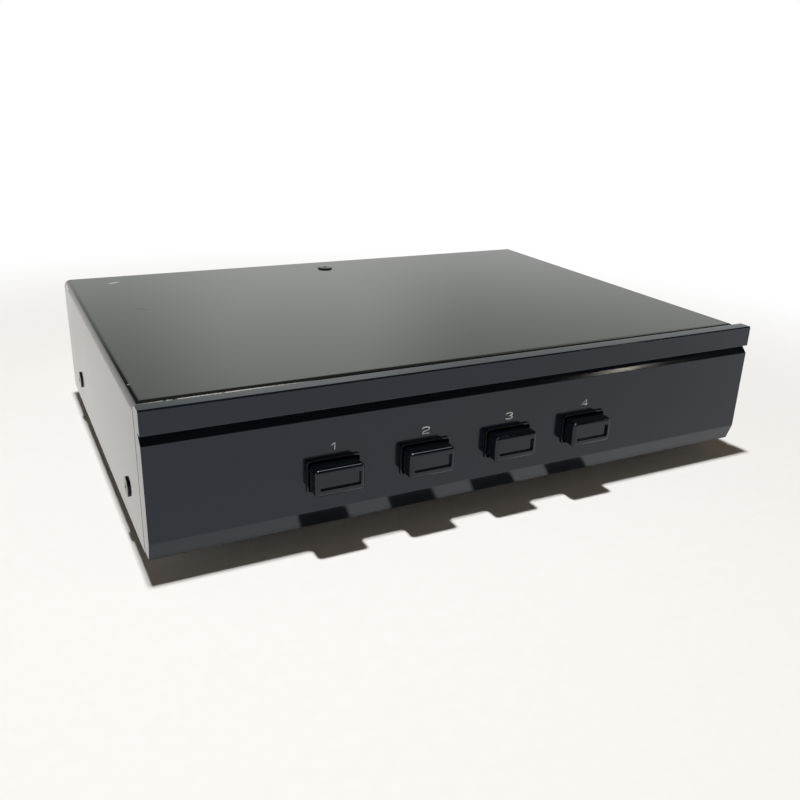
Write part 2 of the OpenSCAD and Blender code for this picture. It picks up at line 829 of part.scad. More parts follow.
module switch_slider(n) color([0.85, 0.84, 0.8]) at_button(n) {
    difference() {
        union() {
            block(0, cap_rear - socket_d, -shaft_h / 2,
                  [shaft_w, block_front - cap_rear + socket_d, shaft_h]);
            translate([0, collar_front, 0])
                rotate([-90, 0, 0])
                    cylinder(h = collar_t, r = collar_r);
            block(0, block_front, -block_h / 2, [block_w, block_l, block_h]);
            for (side = [-1, 1])
                block(side * (block_w - fin_t) / 2, block_front, block_gap - cavity_h / 2,
                      [fin_t, block_l, cavity_h - 2 * block_gap]);
        }
        block(0, track_front, block_h / 2 - track_d, [track_w, track_l, track_d + cut]);
        at_bridges()
            block(0, -bridge_l / 2 - pin_gap, -block_h / 2 - cut,
                  [bridge_w + 2 * pin_gap, bridge_l + 2 * pin_gap, bridge_pocket_d + cut]);
    }
    latch_island();
}

// The heart-shaped island that the latch wire runs round, in the middle of the track
module latch_island() {
    middle = track_front + track_l / 2;
    reach = track_l / 2 - 2 * latch_r - block_gap;
    translate([0, 0, block_h / 2 - track_d])
        linear_extrude(height = track_d)
            polygon([
                [0, middle - reach],
                [island_w / 2, middle + reach / 3],
                [island_w / 3, middle + reach],
                [0, middle + reach / 2],
                [-island_w / 3, middle + reach],
                [-island_w / 2, middle + reach / 3]
            ]);
}

module switch_contacts(n) color(brass_colour) at_button(n) at_contacts()
    translate([0, 0, -housing_axis_h - board_t - pin_tail])
        cylinder(h = contact_top + housing_axis_h + board_t + pin_tail, r = contact_r, $fn = 24);

module contact_bridges(n) color(brass_colour) at_button(n) at_bridges() {
    block(0, -bridge_l / 2, bridge_top - bridge_t, [bridge_w, bridge_l, bridge_t]);
    for (y = [-travel / 2, travel / 2])
        translate([-bridge_w / 2, y, bridge_top - bridge_t / 2 - bridge_dome_r])
            rotate([0, 90, 0])
                cylinder(h = bridge_w, r = bridge_dome_r, $fn = 24);
}

// The latch wire: a tip in the slider's track, a bar above the slider and a leg in the roof
module latch_wire(n) color(zinc) at_button(n) translate([-latch_x, latch_y, 0]) {
    translate([0, 0, latch_tip_z])
        cylinder(h = latch_bar_z - latch_tip_z, r = latch_r, $fn = 24);
    translate([0, -latch_r, latch_bar_z])
        rotate([-90, 0, 0])
            cylinder(h = latch_l + 2 * latch_r, r = latch_r, $fn = 24);
    translate([0, latch_l, latch_bar_z])
        cylinder(h = housing_axis_h - latch_bar_z, r = latch_r, $fn = 24);
}

// Return springs: one wire of hexagonal section, swept along a helix

// A point of the wire: k counts the rings along it and s the sides round it
function spring_point(k, s) =
    let (turn = 360 * k / spring_rings,
         side = 360 * s / spring_sides,
         r = spring_r + spring_wire_r * cos(side))
    [r * cos(turn),
     spring_start + spring_lead + spring_rise * k + spring_wire_r * sin(side),
     r * sin(turn)];

// The middle of the wire at ring k
function spring_middle(k) = (spring_point(k, 0) + spring_point(k, spring_sides / 2)) / 2;

// The least gap between two turns, over all pairs of rings at least half a turn apart
spring_gap = min([
    for (a = [0 : spring_last - spring_rings / 2], b = [a + spring_rings / 2 : spring_last])
        norm(spring_middle(b) - spring_middle(a)) - 2 * spring_wire_r
]);
echo(spring_gap = spring_gap);

module return_spring(n) color(zinc) at_button(n) {
    points = [
        for (k = [0 : spring_last], s = [0 : spring_sides - 1])
            spring_point(k, s)
    ];
    walls = [
        for (k = [0 : spring_last - 1], s = [0 : spring_sides - 1])
            let (a = k * spring_sides + s,
                 b = k * spring_sides + (s + 1) % spring_sides)
            each [[a, b, b + spring_sides], [a, b + spring_sides, a + spring_sides]]
    ];
    end = spring_last * spring_sides;
    ends = [
        for (s = [1 : spring_sides - 2])
            each [[0, s + 1, s], [end, end + s, end + s + 1]]
    ];
    polyhedron(points = points, faces = concat(walls, ends), convexity = 8);
}

// Terminals

// A socket on the board that opens through the rear panel
module terminal_socket(i) color(terminal_green) at_terminal(i) difference() {
    block(0, socket_y, 0, [socket_w, socket_l, socket_h]);
    block(0, socket_y + socket_end_t, socket_t, [socket_in_w, socket_l, socket_in_h]);
    for (way = WAYS)
        block(way * way_pitch, socket_y - cut, wire_h - pin_t / 2 - pin_gap,
              [pin_t + 2 * pin_gap, socket_end_t + 2 * cut, pin_t + 2 * pin_gap]);
}

// A plug, built of four one-way blocks side by side
module terminal_plug(i) color(terminal_green) at_terminal(i)
    for (way = WAYS)
        translate([way * way_pitch, 0, 0])
            plug_way();

// One way of a plug, with its wire entry behind and its clamping screw's hole above
module plug_way() difference() {
    union() {
        block(0, plug_face_y - plug_nose_l, socket_t + plug_gap,
              [way_w, plug_nose_l + plug_gap, socket_in_h - 2 * plug_gap]);
        block(0, plug_face_y + plug_gap, plug_gap, [way_w, plug_out - plug_gap, plug_h]);
    }
    translate([0, plug_back_y - wire_d, wire_h])
        rotate([-90, 0, 0])
            cylinder(h = wire_d + cut, r = wire_r);
    translate([0, plug_back_y - clamp_y, wire_h])
        cylinder(h = plug_h, r = clamp_r + clamp_gap);
    translate([0, plug_back_y - clamp_y, clamp_seat_z])
        cylinder(h = plug_h, r = clamp_head_r + clamp_gap);
    block(0, plug_face_y - plug_nose_l - cut, wire_h - pin_t / 2 - pin_gap,
          [pin_t + 2 * pin_gap, pin_hole_l + cut, pin_t + 2 * pin_gap]);
}

module terminal_pins() color(brass_colour)
    for (i = [0 : 4], way = WAYS)
        at_terminal(i) {
            block(way * way_pitch, pin_start_y, wire_h - pin_t / 2,
                  [pin_t, pin_end_y - pin_start_y, pin_t]);
            block(way * way_pitch, pin_start_y, -board_t - pin_tail,
                  [pin_t, pin_t, board_t + pin_tail + wire_h]);
        }

module clamp_screws() color(zinc)
    for (i = [0 : 4], way = WAYS)
        at_terminal(i)
            translate([way * way_pitch, plug_back_y - clamp_y, clamp_seat_z])
                difference() {
                    union() {
                        cylinder(h = clamp_head_h, r = clamp_head_r);
                        translate([0, 0, -clamp_shank_l])
                            cylinder(h = clamp_shank_l + clamp_head_h / 2, r = clamp_r);
                    }
                    translate([-clamp_head_r - cut, -slot_w / 2, clamp_head_h - slot_d])
                        cube([2 * (clamp_head_r + cut), slot_w, slot_d + cut]);
                }

top_cover();
chassis_base();
front_panel();
front_panel_screws();
cover_side_screws();
cover_rear_screw();
foot(-1, foot_y);  // foot_front_left
foot(1, foot_y);  // foot_front_right
foot(-1, base_l - foot_y);  // foot_rear_left
foot(1, base_l - foot_y);  // foot_rear_right
foot_screws();
circuit_board();
board_standoffs();
board_screws();
protection_resistors();
for (n = [1 : 4]) {
    button_bezel(n);
    button_cap(n);
    switch_housing(n);
    switch_slider(n);
    switch_contacts(n);
    contact_bridges(n);
    return_spring(n);
    latch_wire(n);
    terminal_socket(n);
    terminal_plug(n);
}
terminal_socket(0);  // input_socket
terminal_plug(0);  // input_plug
terminal_pins();
clamp_screws();
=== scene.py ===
import math
from typing import NamedTuple

import bmesh
import bpy
from bpy.props import FloatProperty, FloatVectorProperty, IntProperty, PointerProperty
from mathutils import Matrix, Quaternion, Vector


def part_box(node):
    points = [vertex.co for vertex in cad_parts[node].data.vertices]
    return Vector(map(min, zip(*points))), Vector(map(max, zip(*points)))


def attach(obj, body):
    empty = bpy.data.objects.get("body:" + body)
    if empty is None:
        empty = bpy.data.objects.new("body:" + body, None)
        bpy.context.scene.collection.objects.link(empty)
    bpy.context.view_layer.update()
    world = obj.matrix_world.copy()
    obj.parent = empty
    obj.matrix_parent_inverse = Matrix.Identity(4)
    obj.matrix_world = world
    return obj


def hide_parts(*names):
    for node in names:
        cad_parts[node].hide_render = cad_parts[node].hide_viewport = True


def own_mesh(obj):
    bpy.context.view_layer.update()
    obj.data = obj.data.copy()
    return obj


bl_info = {
    "name": "Speaker selector switch",
    "version": (1, 0, 0),
    "blender": (4, 5, 0),
    "location": "View3D > Sidebar > Selector",
    "description": "Finishes and rounded pieces of a flat steel switch box with four push buttons",
    "category": "Object",
}

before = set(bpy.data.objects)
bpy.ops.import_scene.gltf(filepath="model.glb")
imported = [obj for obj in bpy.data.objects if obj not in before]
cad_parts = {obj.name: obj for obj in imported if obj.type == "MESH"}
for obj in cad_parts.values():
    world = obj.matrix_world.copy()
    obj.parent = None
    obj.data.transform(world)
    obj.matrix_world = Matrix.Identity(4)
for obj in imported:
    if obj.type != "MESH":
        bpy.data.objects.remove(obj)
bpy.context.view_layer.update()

BUTTONS = range(1, 5)
CUT = 0.001  # How far a cutter reaches past the face that it opens, in metres
WELD = 1e-6  # Points nearer to each other than this are one, in metres
NEAR = 2e-5  # Places nearer to each other than this count as level, in metres


def linear(hex_colour):
    """An sRGB hex colour as linear red, green, blue and alpha."""
    shares = [int(hex_colour[i:i + 2], 16) / 255 for i in (1, 3, 5)]
    return tuple(s / 12.92 if s <= 0.04045 else ((s + 0.055) / 1.055) ** 2.4 for s in shares) + (1.0,)


def length(name, description, default):
    return FloatProperty(name=name, description=description, default=default, min=0.0,
                         unit="LENGTH", precision=5)


def angle(name, description, degrees):
    return FloatProperty(name=name, description=description, default=math.radians(degrees),
                         subtype="ANGLE", unit="ROTATION")


def colour(name, description, default):
    return FloatVectorProperty(name=name, description=description, default=linear(default),
                               size=4, min=0.0, max=1.0, subtype="COLOR")


# ---------------------------------------------------------------- sizes and colours

class CoverSettings(bpy.types.PropertyGroup):
    sheet: length("Sheet", "Thickness of the folded sheet", 0.001)
    bend_radius: length("Bend radius", "Outside radius of the bends along the top", 0.0026)
    front_radius: length("Front radius", "Radius of the top's front edge, where it turns down", 0.003)
    front_turn: angle("Front turn", "Angle through which that edge turns down", 42)
    front_steps: IntProperty(name="Front steps", description="Cuts that make up that edge",
                             default=7, min=2, max=16)
    hole_radius: length("Hole radius", "Radius of the screw holes", 0.00175)
    edge: length("Edge rounding", "Rounding left on the sheet's edges by deburring and paint", 0.00016)
    paint: colour("Paint", "Black stove enamel", "#141515")
    # The same pale metal paints the highlight along the cover's front joint
    bare_metal_and_highlight: colour("Bare metal", "Steel where the paint has worn through", "#CFCEC9")


class PanelSettings(bpy.types.PropertyGroup):
    lip_height: length("Lip height", "Height of the lip along the top", 0.0072)
    groove_height: length("Groove height", "Height of the groove under the lip", 0.0028)
    groove_depth: length("Groove depth", "Depth of the groove under the lip", 0.0026)
    chamfer_height: length("Bevel height", "Height of the bevel along the lower edge", 0.0058)
    chamfer_depth: length("Bevel depth", "Set-back of the bevel along the lower edge", 0.0019)
    lip_bevel: length("Lip bevel", "Bevel along the front of the lip's top", 0.0004)
    back_rise: length("Back bevel rise", "Rise of the bevel along the back of the lip's top", 0.0014)
    back_run: length("Back bevel run", "Depth of the bevel along the back of the lip's top", 0.0027)
    opening_play: length("Opening play", "Play of a bezel in its opening", 0.0001)
    edge: length("Edge rounding", "Rounding of the machined edges", 0.00018)
    anodising: colour("Anodising", "Satin black anodised aluminium", "#0B1119")


class ButtonSettings(bpy.types.PropertyGroup):
    cap_edge: length("Cap edge radius", "Radius of a cap's edges", 0.0013)
    field_side: length("Field side border", "Border at the sides of the sunk field", 0.0015)
    field_border: length("Field border", "Border above and below the sunk field", 0.0021)
    field_depth: length("Field depth", "Depth of the sunk field", 0.0008)
    field_radius: length("Field radius", "Corner radius of the sunk field", 0.0004)
    field_edge: length("Field edge", "Rounding of the sunk field's edges", 0.00006)
    cap_wall: length("Cap wall", "Wall of a cap behind its front", 0.0012)
    cap_front: length("Cap front", "Thickness of a cap's front", 0.0026)
    bezel_wall: length("Bezel wall", "Wall of the bezel round a cap", 0.0005)
    bezel_inside_radius: length("Bezel inside radius", "Radius of the bezel's inner corners", 0.0008)
    bezel_edge: length("Bezel edge", "Rounding of the bezel's outer front edge", 0.00006)
    bezel_flange: length("Bezel flange", "Width of the flange behind the panel", 0.0018)
    bezel_flange_thickness: length("Flange thickness", "Thickness of that flange", 0.001)
    travel: length("Travel", "Travel of a button", 0.0035)
    moulding: colour("Moulding", "Gloss black plastic", "#05080C")


class DigitSettings(bpy.types.PropertyGroup):
    height: length("Height", "Height of a digit", 0.0021)
    width: length("Width", "Width of a digit", 0.0025)
    stroke: length("Stroke", "Width of a digit's stroke", 0.00034)
    flatness: FloatProperty(name="Flatness", description="Thickness of a stroke as a share of its width",
                            default=0.12, min=0.0, max=1.0)
    proud: length("Proud", "How far the middle of a stroke lies before the panel", 0.00001)
    rise: length("Rise", "Height of a digit's middle above its button's axis", 0.0086)
    ink: colour("Ink", "White screen-printing ink", "#F4F5F5")


class ScrewSettings(bpy.types.PropertyGroup):
    head_radius: length("Head radius", "Radius of a cover screw's head", 0.0031)
    head_height: length("Head height", "Height of a cover screw's head", 0.0007)
    head_rim: length("Head rim", "Height of the head's rim", 0.00055)
    shank_radius: length("Shank radius", "Radius of a cover screw's shank", 0.0015)
    shank_length: length("Shank length", "Length of a cover screw's shank", 0.006)
    recess_length: length("Recess length", "Length of the cross recess", 0.0032)
    recess_width: length("Recess width", "Width of the cross recess", 0.0007)
    recess_depth: length("Recess depth", "Depth of the cross recess", 0.00045)
    recess_turn: angle("Recess turn", "Angle at which the driver left the recess", 25)
    edge: length("Edge rounding", "Rounding of the head's rim and recess", 0.00006)
    steps: IntProperty(name="Dome steps", description="Rings that make up the dome",
                       default=5, min=2, max=12)
    lacquer: colour("Lacquer", "Black lacquer on the screws", "#151617")


class TerminalSettings(bpy.types.PropertyGroup):
    edge: length("Edge rounding", "Rounding of the terminal blocks' edges", 0.00025)
    moulding: colour("Moulding", "Green polyamide", "#2F7A48")
    plating: colour("Plating", "Zinc plating on small screws", "#C3C4BF")


class FootSettings(bpy.types.PropertyGroup):
    lower_radius: length("Lower radius", "Radius of a foot where it stands", 0.0062)
    well_radius: length("Well radius", "Radius of the well for the screw's head", 0.00305)
    well_depth: length("Well depth", "Depth of the well for the screw's head", 0.0036)
    hole_radius: length("Hole radius", "Radius of the hole for the screw", 0.00175)
    skin: length("Skin", "Rubber that closes the hole at the top", 0.0002)
    edge: length("Edge rounding", "Rounding of a foot's lower edge", 0.0008)
    rubber: colour("Rubber", "Black rubber", "#131313")


class StageSettings(bpy.types.PropertyGroup):
    floor: colour("Floor", "Pale floor", "#F5F4F2")
    ceiling: colour("Ceiling", "Dark upper part of the room", "#3A3836")
    sheen: colour("Bright backdrop", "Middle of the pale backdrop", "#EDF2EC")
    shade: colour("Shaded backdrop", "Outer part of the pale backdrop", "#BCC2BB")
    room_light: colour("Room light", "Warm light that the room returns", "#FFE9D2")
    room_strength: FloatProperty(name="Room strength", description="Strength of that light",
                                 default=0.085, min=0.0)
    azimuth: angle("Azimuth", "Angle of the camera round the object", -27.511)
    elevation: angle("Elevation", "Angle of the camera above the table", 21.139)
    roll: angle("Roll", "Turn of the camera about its own axis", 1.964)
    place: FloatVectorProperty(name="Place", description="Place of the camera", size=3,
                               default=(-0.139454, -0.282159, 0.132093),
                               subtype="TRANSLATION", unit="LENGTH")
    lens: FloatProperty(name="Lens", description="Focal length on a 36 mm sensor, in millimetres",
                        default=37.784, min=1.0)


class SelectorSettings(bpy.types.PropertyGroup):
    cover: PointerProperty(type=CoverSettings)
    panel: PointerProperty(type=PanelSettings)
    button: PointerProperty(type=ButtonSettings)
    digit: PointerProperty(type=DigitSettings)
    screw: PointerProperty(type=ScrewSettings)
    terminal: PointerProperty(type=TerminalSettings)
    foot: PointerProperty(type=FootSettings)
    stage: PointerProperty(type=StageSettings)


# ---------------------------------------------------------------- modelling helpers

def select_only(piece):
    if bpy.context.object and bpy.context.object.mode != "OBJECT":
        bpy.ops.object.mode_set(mode="OBJECT")
    bpy.ops.object.select_all(action="DESELECT")
    bpy.context.view_layer.objects.active = piece
    piece.select_set(True)


def primitive(kind, name, scale=(1, 1, 1), **settings):
    """Add a primitive with nothing else selected, and put its place and size into its mesh."""
    bpy.ops.object.select_all(action="DESELECT")
    getattr(bpy.ops.mesh, f"primitive_{kind}_add")(**settings)
    piece = bpy.context.object
    piece.name = piece.data.name = name
    piece.scale = scale  # Set here because the operator for a plane ignores it
    bpy.ops.object.transform_apply(location=True, rotation=True, scale=True)
    return piece


def block(name, low, high):
    low, high = Vector(low), Vector(high)
    return primitive("cube", name, size=1, location=(low + high) / 2, scale=high - low)


def edit(piece):
    select_only(piece)
    bpy.ops.object.mode_set(mode="EDIT")


def done():
    bpy.ops.object.mode_set(mode="OBJECT")


def pick(kind, test):
    """In edit mode, select only the faces or edges that pass a test. It is given a face's middle and
    normal, or an edge's middle and how far it runs along X, Y and Z."""
    bpy.ops.mesh.select_mode(type=kind)
    bpy.ops.mesh.select_all(action="DESELECT")
    mesh = bpy.context.edit_object.data
    shape = bmesh.from_edit_mesh(mesh)
    if kind == "FACE":
        chosen = [f for f in shape.faces if test(f.calc_center_median(), f.normal)]
    else:
        chosen = []
        for edge in shape.edges:
            a, b = (v.co for v in edge.verts)
            if test((a + b) / 2, Vector(abs(c) for c in (b - a).normalized())):
                chosen.append(edge)
    if not chosen:
        raise RuntimeError(f"nothing to select on {bpy.context.edit_object.name}")
    for part in chosen:
        part.select_set(True)
    shape.select_flush_mode()
    bmesh.update_edit_mesh(mesh)


def near(a, b):
    return abs(a - b) < NEAR


def round_edges(radius, segments):
    bpy.ops.mesh.bevel(offset=radius, segments=segments, profile=0.5, affect="EDGES")


def extrude(x, y, z):
    bpy.ops.mesh.extrude_region_move(TRANSFORM_OT_translate={"value": (x, y, z)})


def face_outwards():
    bpy.ops.mesh.select_all(action="SELECT")
    bpy.ops.mesh.normals_make_consistent(inside=False)


def modify(piece, kind, **settings):
    """Add a modifier and apply it."""
    select_only(piece)
    modifier = piece.modifiers.new(kind.title(), kind)
    for name, value in settings.items():
        setattr(modifier, name, value)
    bpy.ops.object.modifier_apply(modifier=modifier.name)


def soften(piece, width, degrees):
    """Round all edges that turn by more than an angle."""
    modify(piece, "BEVEL", width=width, segments=2, limit_method="ANGLE",
           angle_limit=math.radians(degrees), harden_normals=False)


def carve(piece, cutter):
    modify(piece, "BOOLEAN", operation="DIFFERENCE", solver="EXACT", object=cutter)
    bpy.data.objects.remove(cutter)


def copy_of(piece, name, matrix):
    """A copy with its own mesh, moved or turned in the mesh itself."""
    twin = piece.copy()
    twin.data = piece.data.copy()
    twin.name = twin.data.name = name
    twin.data.transform(matrix)
    bpy.context.collection.objects.link(twin)
    return twin


def settle(piece, body, finish, replaced, smooth=35):
    """Give a finished piece its material, its body and the nodes that it stands for."""
    select_only(piece)
    bpy.ops.object.shade_smooth_by_angle(angle=math.radians(smooth))
    modify(piece, "WEIGHTED_NORMAL", mode="FACE_AREA", weight=100, keep_sharp=True)
    piece.data.materials.clear()
    piece.data.materials.append(finish)
    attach(piece, body)
    if replaced:
        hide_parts(*replaced)


def dress(finish, *starts):
    """Give the carried-over nodes whose names start so a better material."""
    for name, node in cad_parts.items():
        if name.startswith(starts):
            for place in node.material_slots:
                place.material = finish


def merged_copy(node, name):
    """A copy of a carried-over node whose loose triangles are joined."""
    piece = copy_of(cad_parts[node], name, Matrix.Identity(4))
    piece.parent = None
    for key in list(piece.keys()):
        del piece[key]
    edit(piece)
    bpy.ops.mesh.select_all(action="SELECT")
    bpy.ops.mesh.remove_doubles(threshold=2 * WELD)
    done()
    return piece


# ---------------------------------------------------------------- materials

SMOOTH = {"interpolation_type": "SMOOTHSTEP"}
# The glossy black pieces mirror the room a shade cooler than it is
COOL_GLOSS = {"IOR": 1.5, "Specular Tint": linear("#E6F0FF")}


class Grain(NamedTuple):
    """Noise with grains size metres across. From low to high it becomes a share from 0 to most."""
    size: float
    detail: float = 2.0
    low: float = 0.3
    high: float = 0.7
    most: float = 1.0
    stretch: tuple = (1, 1, 1)


def feed(tree, node, values):
    """Set a node's inputs. A value that is another node, or an output of one, is linked."""
    for name, value in values.items():
        if isinstance(value, bpy.types.Node):
            value = value.outputs[0]
        if isinstance(value, bpy.types.NodeSocket):
            tree.links.new(value, node.inputs[name])
        else:
            node.inputs[name].default_value = value


def add_node(tree, kind, settings):
    """Add a node with its settings, each an option or, by name or number, an input."""
    node = tree.nodes.new(kind)
    inputs = {n: value for n, value in settings.items() if isinstance(n, int) or n in node.inputs}
    for name, value in settings.items():
        if name not in inputs:
            setattr(node, name, value)
    feed(tree, node, inputs)
    return node


def new_material(name, **settings):
    material = bpy.data.materials.new(name)
    material.use_nodes = True
    tree = material.node_tree
    tree.nodes.clear()
    shader = add_node(tree, "ShaderNodeBsdfPrincipled", settings)
    add_node(tree, "ShaderNodeOutputMaterial", {"Surface": shader})
    coords = add_node(tree, "ShaderNodeTexCoord", {}).outputs["Object"]
    return material, tree, shader, coords


def noise(tree, coords, grain):
    """A grain's noise, stretched along its axes."""
    spread = add_node(tree, "ShaderNodeMapping", {"Scale": grain.stretch, "Vector": coords})
    return add_node(tree, "ShaderNodeTexNoise",
                    {"Scale": 1 / grain.size, "Detail": grain.detail, "Vector": spread})


def ranged(tree, coords, grain, least, most):
    """A grain's noise, carried smoothly to values from least to most."""
    return add_node(tree, "ShaderNodeMapRange",
                    {**SMOOTH, "Value": noise(tree, coords, grain), "From Min": grain.low,
                     "From Max": grain.high, "To Min": least, "To Max": most})


def spot(tree, coords, place, radii, turn):
    """1 inside an ellipsoid and 0 outside it, with a soft border."""
    local = add_node(tree, "ShaderNodeMapping",
                     {"vector_type": "TEXTURE", "Vector": coords, "Location": place,
                      "Rotation": (0, 0, turn), "Scale": radii})
    reach = add_node(tree, "ShaderNodeVectorMath", {"operation": "LENGTH", 0: local})
    return add_node(tree, "ShaderNodeMapRange",
                    {**SMOOTH, "Value": reach.outputs["Value"], "From Min": 0.5, "From Max": 1.5,
                     "To Min": 1.0, "To Max": 0.0})


def grained(name, first, second, clouds, rough=None, sheen=None, relief=None, **settings):
    """A material that goes from its first towards its second colour in clouds, and between two
    roughnesses by the grain of its sheen, or else of its clouds. A relief is a grain, the height of
    its bump in metres and the bump's strength."""
    material, tree, shader, coords = new_material(name, **settings)
    blend = add_node(tree, "ShaderNodeMix",
                     {"data_type": "RGBA", 0: ranged(tree, coords, clouds, 0.0, clouds.most),
                      6: first, 7: second})
    feed(tree, shader, {"Base Color": blend.outputs[2]})
    if rough:
        feed(tree, shader, {"Roughness": ranged(tree, coords, sheen or clouds, *rough)})
    if relief:
        grain, height, strength = relief
        bump = add_node(tree, "ShaderNodeBump", {"Strength": strength, "Distance": height,
                                                 "Height": noise(tree, coords, grain)})
        feed(tree, shader, {"Normal": bump})
    return material


def stove_enamel(paint, bare_metal_and_highlight, corner):
    """Black stove enamel on steel sheet: semi-gloss with a fine orange peel, rubbed through to
    bright metal in places along the front joint and at the rear corner. The pale line along the front joint
    is also a painted highlight on the joint's edge."""
    material, tree, shader, coords = new_material("black_stove_enamel", IOR=1.56)
    # The worn places and the painted highlight, from the cover's front left top corner: middle, radii and
    # turn
    worn_and_highlight_places = [
        ((0.025, 0.0003, -0.0006), (0.02, 0.0002, 0.00026), 0.0),  # a rubbed line at the front joint, its pale bare metal also a painted highlight
        ((0.0002, 0.1408, -0.0013), (0.0004, 0.006, 0.0006), 0.0),  # the edge at the rear corner
        ((0.0173, 0.1355, 0), (0.0022, 0.0006, 0.001), 0.3),  # a scuff near that corner
        ((0.002, 0.015, 0), (0.0004, 0.0004, 0.001), 0.0),  # a nick near the front
    ]
    scratched_place = ((0.0203, 0.092, 0), (0.0042, 0.0004, 0.001), -0.75)
    *worn_and_highlight_spots, scratch = [spot(tree, coords, corner + Vector(middle), radii, turn)
                            for middle, radii, turn in (*worn_and_highlight_places, scratched_place)]
    wear_and_highlight = worn_and_highlight_spots[0]
    for other in worn_and_highlight_spots[1:]:
        wear_and_highlight = add_node(tree, "ShaderNodeMath", {"operation": "MAXIMUM", 0: wear_and_highlight, 1: other})
    flakes = ranged(tree, coords, Grain(0.0016, 5.0, 0.36, 0.5), 0.0, 1.0)
    wear_and_highlight = add_node(tree, "ShaderNodeMath", {"operation": "MULTIPLY", 0: wear_and_highlight, 1: flakes})
    rough = ranged(tree, coords, Grain(0.035, 3.0), 0.08, 0.12)
    for mark, added in ((scratch, 0.25), (wear_and_highlight, 0.3)):
        rough = add_node(tree, "ShaderNodeMath",
                         {"operation": "MULTIPLY_ADD", 0: mark, 1: added, 2: rough})
    # Pale bare metal where the paint is rubbed through, and along the front joint as a painted highlight
    blend = add_node(tree, "ShaderNodeMix", {"data_type": "RGBA", 0: wear_and_highlight, 6: paint, 7: bare_metal_and_highlight})
    metal = add_node(tree, "ShaderNodeMath", {"operation": "MULTIPLY", 0: wear_and_highlight, 1: 0.3})
    peel = add_node(tree, "ShaderNodeBump", {"Strength": 0.35, "Distance": 0.00001,
                                             "Height": noise(tree, coords, Grain(0.0011, 3.0))})
    feed(tree, shader, {"Base Color": blend.outputs[2], "Metallic": metal, "Roughness": rough,
                        "Normal": peel})
    return material


def black_anodising(colour_value):
    """Black anodised aluminium, finely brushed along the panel before anodising: satin, with
    faint streaks along X. The brush lines are drawn 0.25 mm apart so that they still show."""
    streaks = Grain(0.00025, low=0.25, high=0.75, stretch=(0.012, 1, 1))
    return grained("black_anodised_aluminium", colour_value, linear("#101720"),
                   Grain(0.03, most=0.35), (0.1, 0.15), streaks, (streaks, 0.000004, 0.3), **COOL_GLOSS)


def gloss_moulding(name, colour_value, rough):
    """Gloss black ABS from a polished mould: mirror-like, dulled here and there by handling."""
    dust = Grain(0.0004, low=0.62, high=0.75, most=0.25)
    return grained(name, colour_value, linear("#26292B"), dust, rough, Grain(0.004, 4.0, 0.35),
                   (dust, 0.00001, 0.2), **COOL_GLOSS)


def printing_ink(colour_value):
    """White screen-printing ink: thin and matt, slightly uneven in density."""
    return grained("white_screen_ink", colour_value, linear("#DADCDC"), Grain(0.0003), (0.5, 0.65),
                   IOR=1.48)


def zinc_plating(name, colour_value, cell):
    """Zinc-plated steel: dull metal with cloudy patches, a cell across, left by the bath."""
    return grained(name, colour_value, linear("#B5B8B7"), Grain(cell, 4.0), (0.36, 0.42),
                   Grain(cell, 4.0, 0.25, 0.75), (Grain(0.0004), 0.000006, 0.3), Metallic=1.0)


def black_lacquer(colour_value):
    """Steel screws dipped in black lacquer: satin like the case, a shade lighter where a driver
    has rubbed."""
    return grained("black_lacquered_screws", colour_value, linear("#2C2D2E"),
                   Grain(0.0008, 3.0, 0.6, 0.75), (0.16, 0.26), Grain(0.0008, 3.0), IOR=1.5)


def moulded_rubber(colour_value):
    """Black rubber from an eroded mould: matt with a fine texture and a little dust."""
    texture = Grain(0.0005, 3.0)
    return grained("black_rubber", colour_value, linear("#33312E"), Grain(0.003, 3.0, 0.45, 0.8, 0.4),
                   (0.7, 0.85), texture, (texture, 0.00004, 0.4), IOR=1.52)


def satin_moulding(name, colour_value, second, rough=(0.38, 0.5)):
    """Injection-moulded plastic from an eroded mould: satin, with a fine even texture."""
    texture = Grain(0.0006)
    return grained(name, colour_value, second, Grain(0.006), rough, texture,
                   (texture, 0.00002, 0.3), IOR=1.5)


def resist_coated_board():
    """Glass and epoxy board under green solder resist: glossy, with the weave showing faintly
    0.5 mm apart and the copper pours a shade lighter."""
    material, tree, shader, coords = new_material("solder_resist_on_epoxy_board", IOR=1.55)
    pours = add_node(tree, "ShaderNodeTexVoronoi",
                     {"feature": "DISTANCE_TO_EDGE", "Scale": 90.0, "Vector": coords})
    share = add_node(tree, "ShaderNodeMapRange",
                     {**SMOOTH, "Value": pours, "From Min": 0.03, "From Max": 0.05})
    blend = add_node(tree, "ShaderNodeMix", {"data_type": "RGBA", 0: share, 6: linear("#0B3A1E"),
                                             7: linear("#14572F")})
    weave = add_node(tree, "ShaderNodeTexChecker", {"Scale": 1000.0, "Vector": coords})
    bump = add_node(tree, "ShaderNodeBump",
                    {"Strength": 0.3, "Distance": 0.00001, "Height": weave.outputs[1]})
    feed(tree, shader, {"Base Color": blend.outputs[2], "Normal": bump,
                        "Roughness": ranged(tree, coords, Grain(0.01), 0.22, 0.34)})
    return material


def white_ceramic():
    """Cast white ceramic of power resistors: matt and slightly porous."""
    pores = Grain(0.0004, 4.0)
    return grained("cast_white_ceramic", linear("#D9D5CA"), linear("#C6C1B4"), pores, (0.6, 0.8),
                   relief=(pores, 0.00006, 0.5), IOR=1.6)


def silvered_brass():
    """Brass contacts with a thin silver wash: warm metal with pale patches."""
    return grained("silvered_brass", linear("#C8A45A"), linear("#CFC9B8"),
                   Grain(0.0015, 3.0, 0.35, 0.65), (0.22, 0.34), Grain(0.0015, 3.0), Metallic=1.0)


def spring_steel():
    """Drawn spring wire: bright steel with fine lines from the drawing die."""
    return grained("drawn_spring_steel", linear("#AFB1B2"), linear("#8E9192"), Grain(0.0003),
                   (0.24, 0.36), Metallic=1.0)


# ---------------------------------------------------------------- pieces

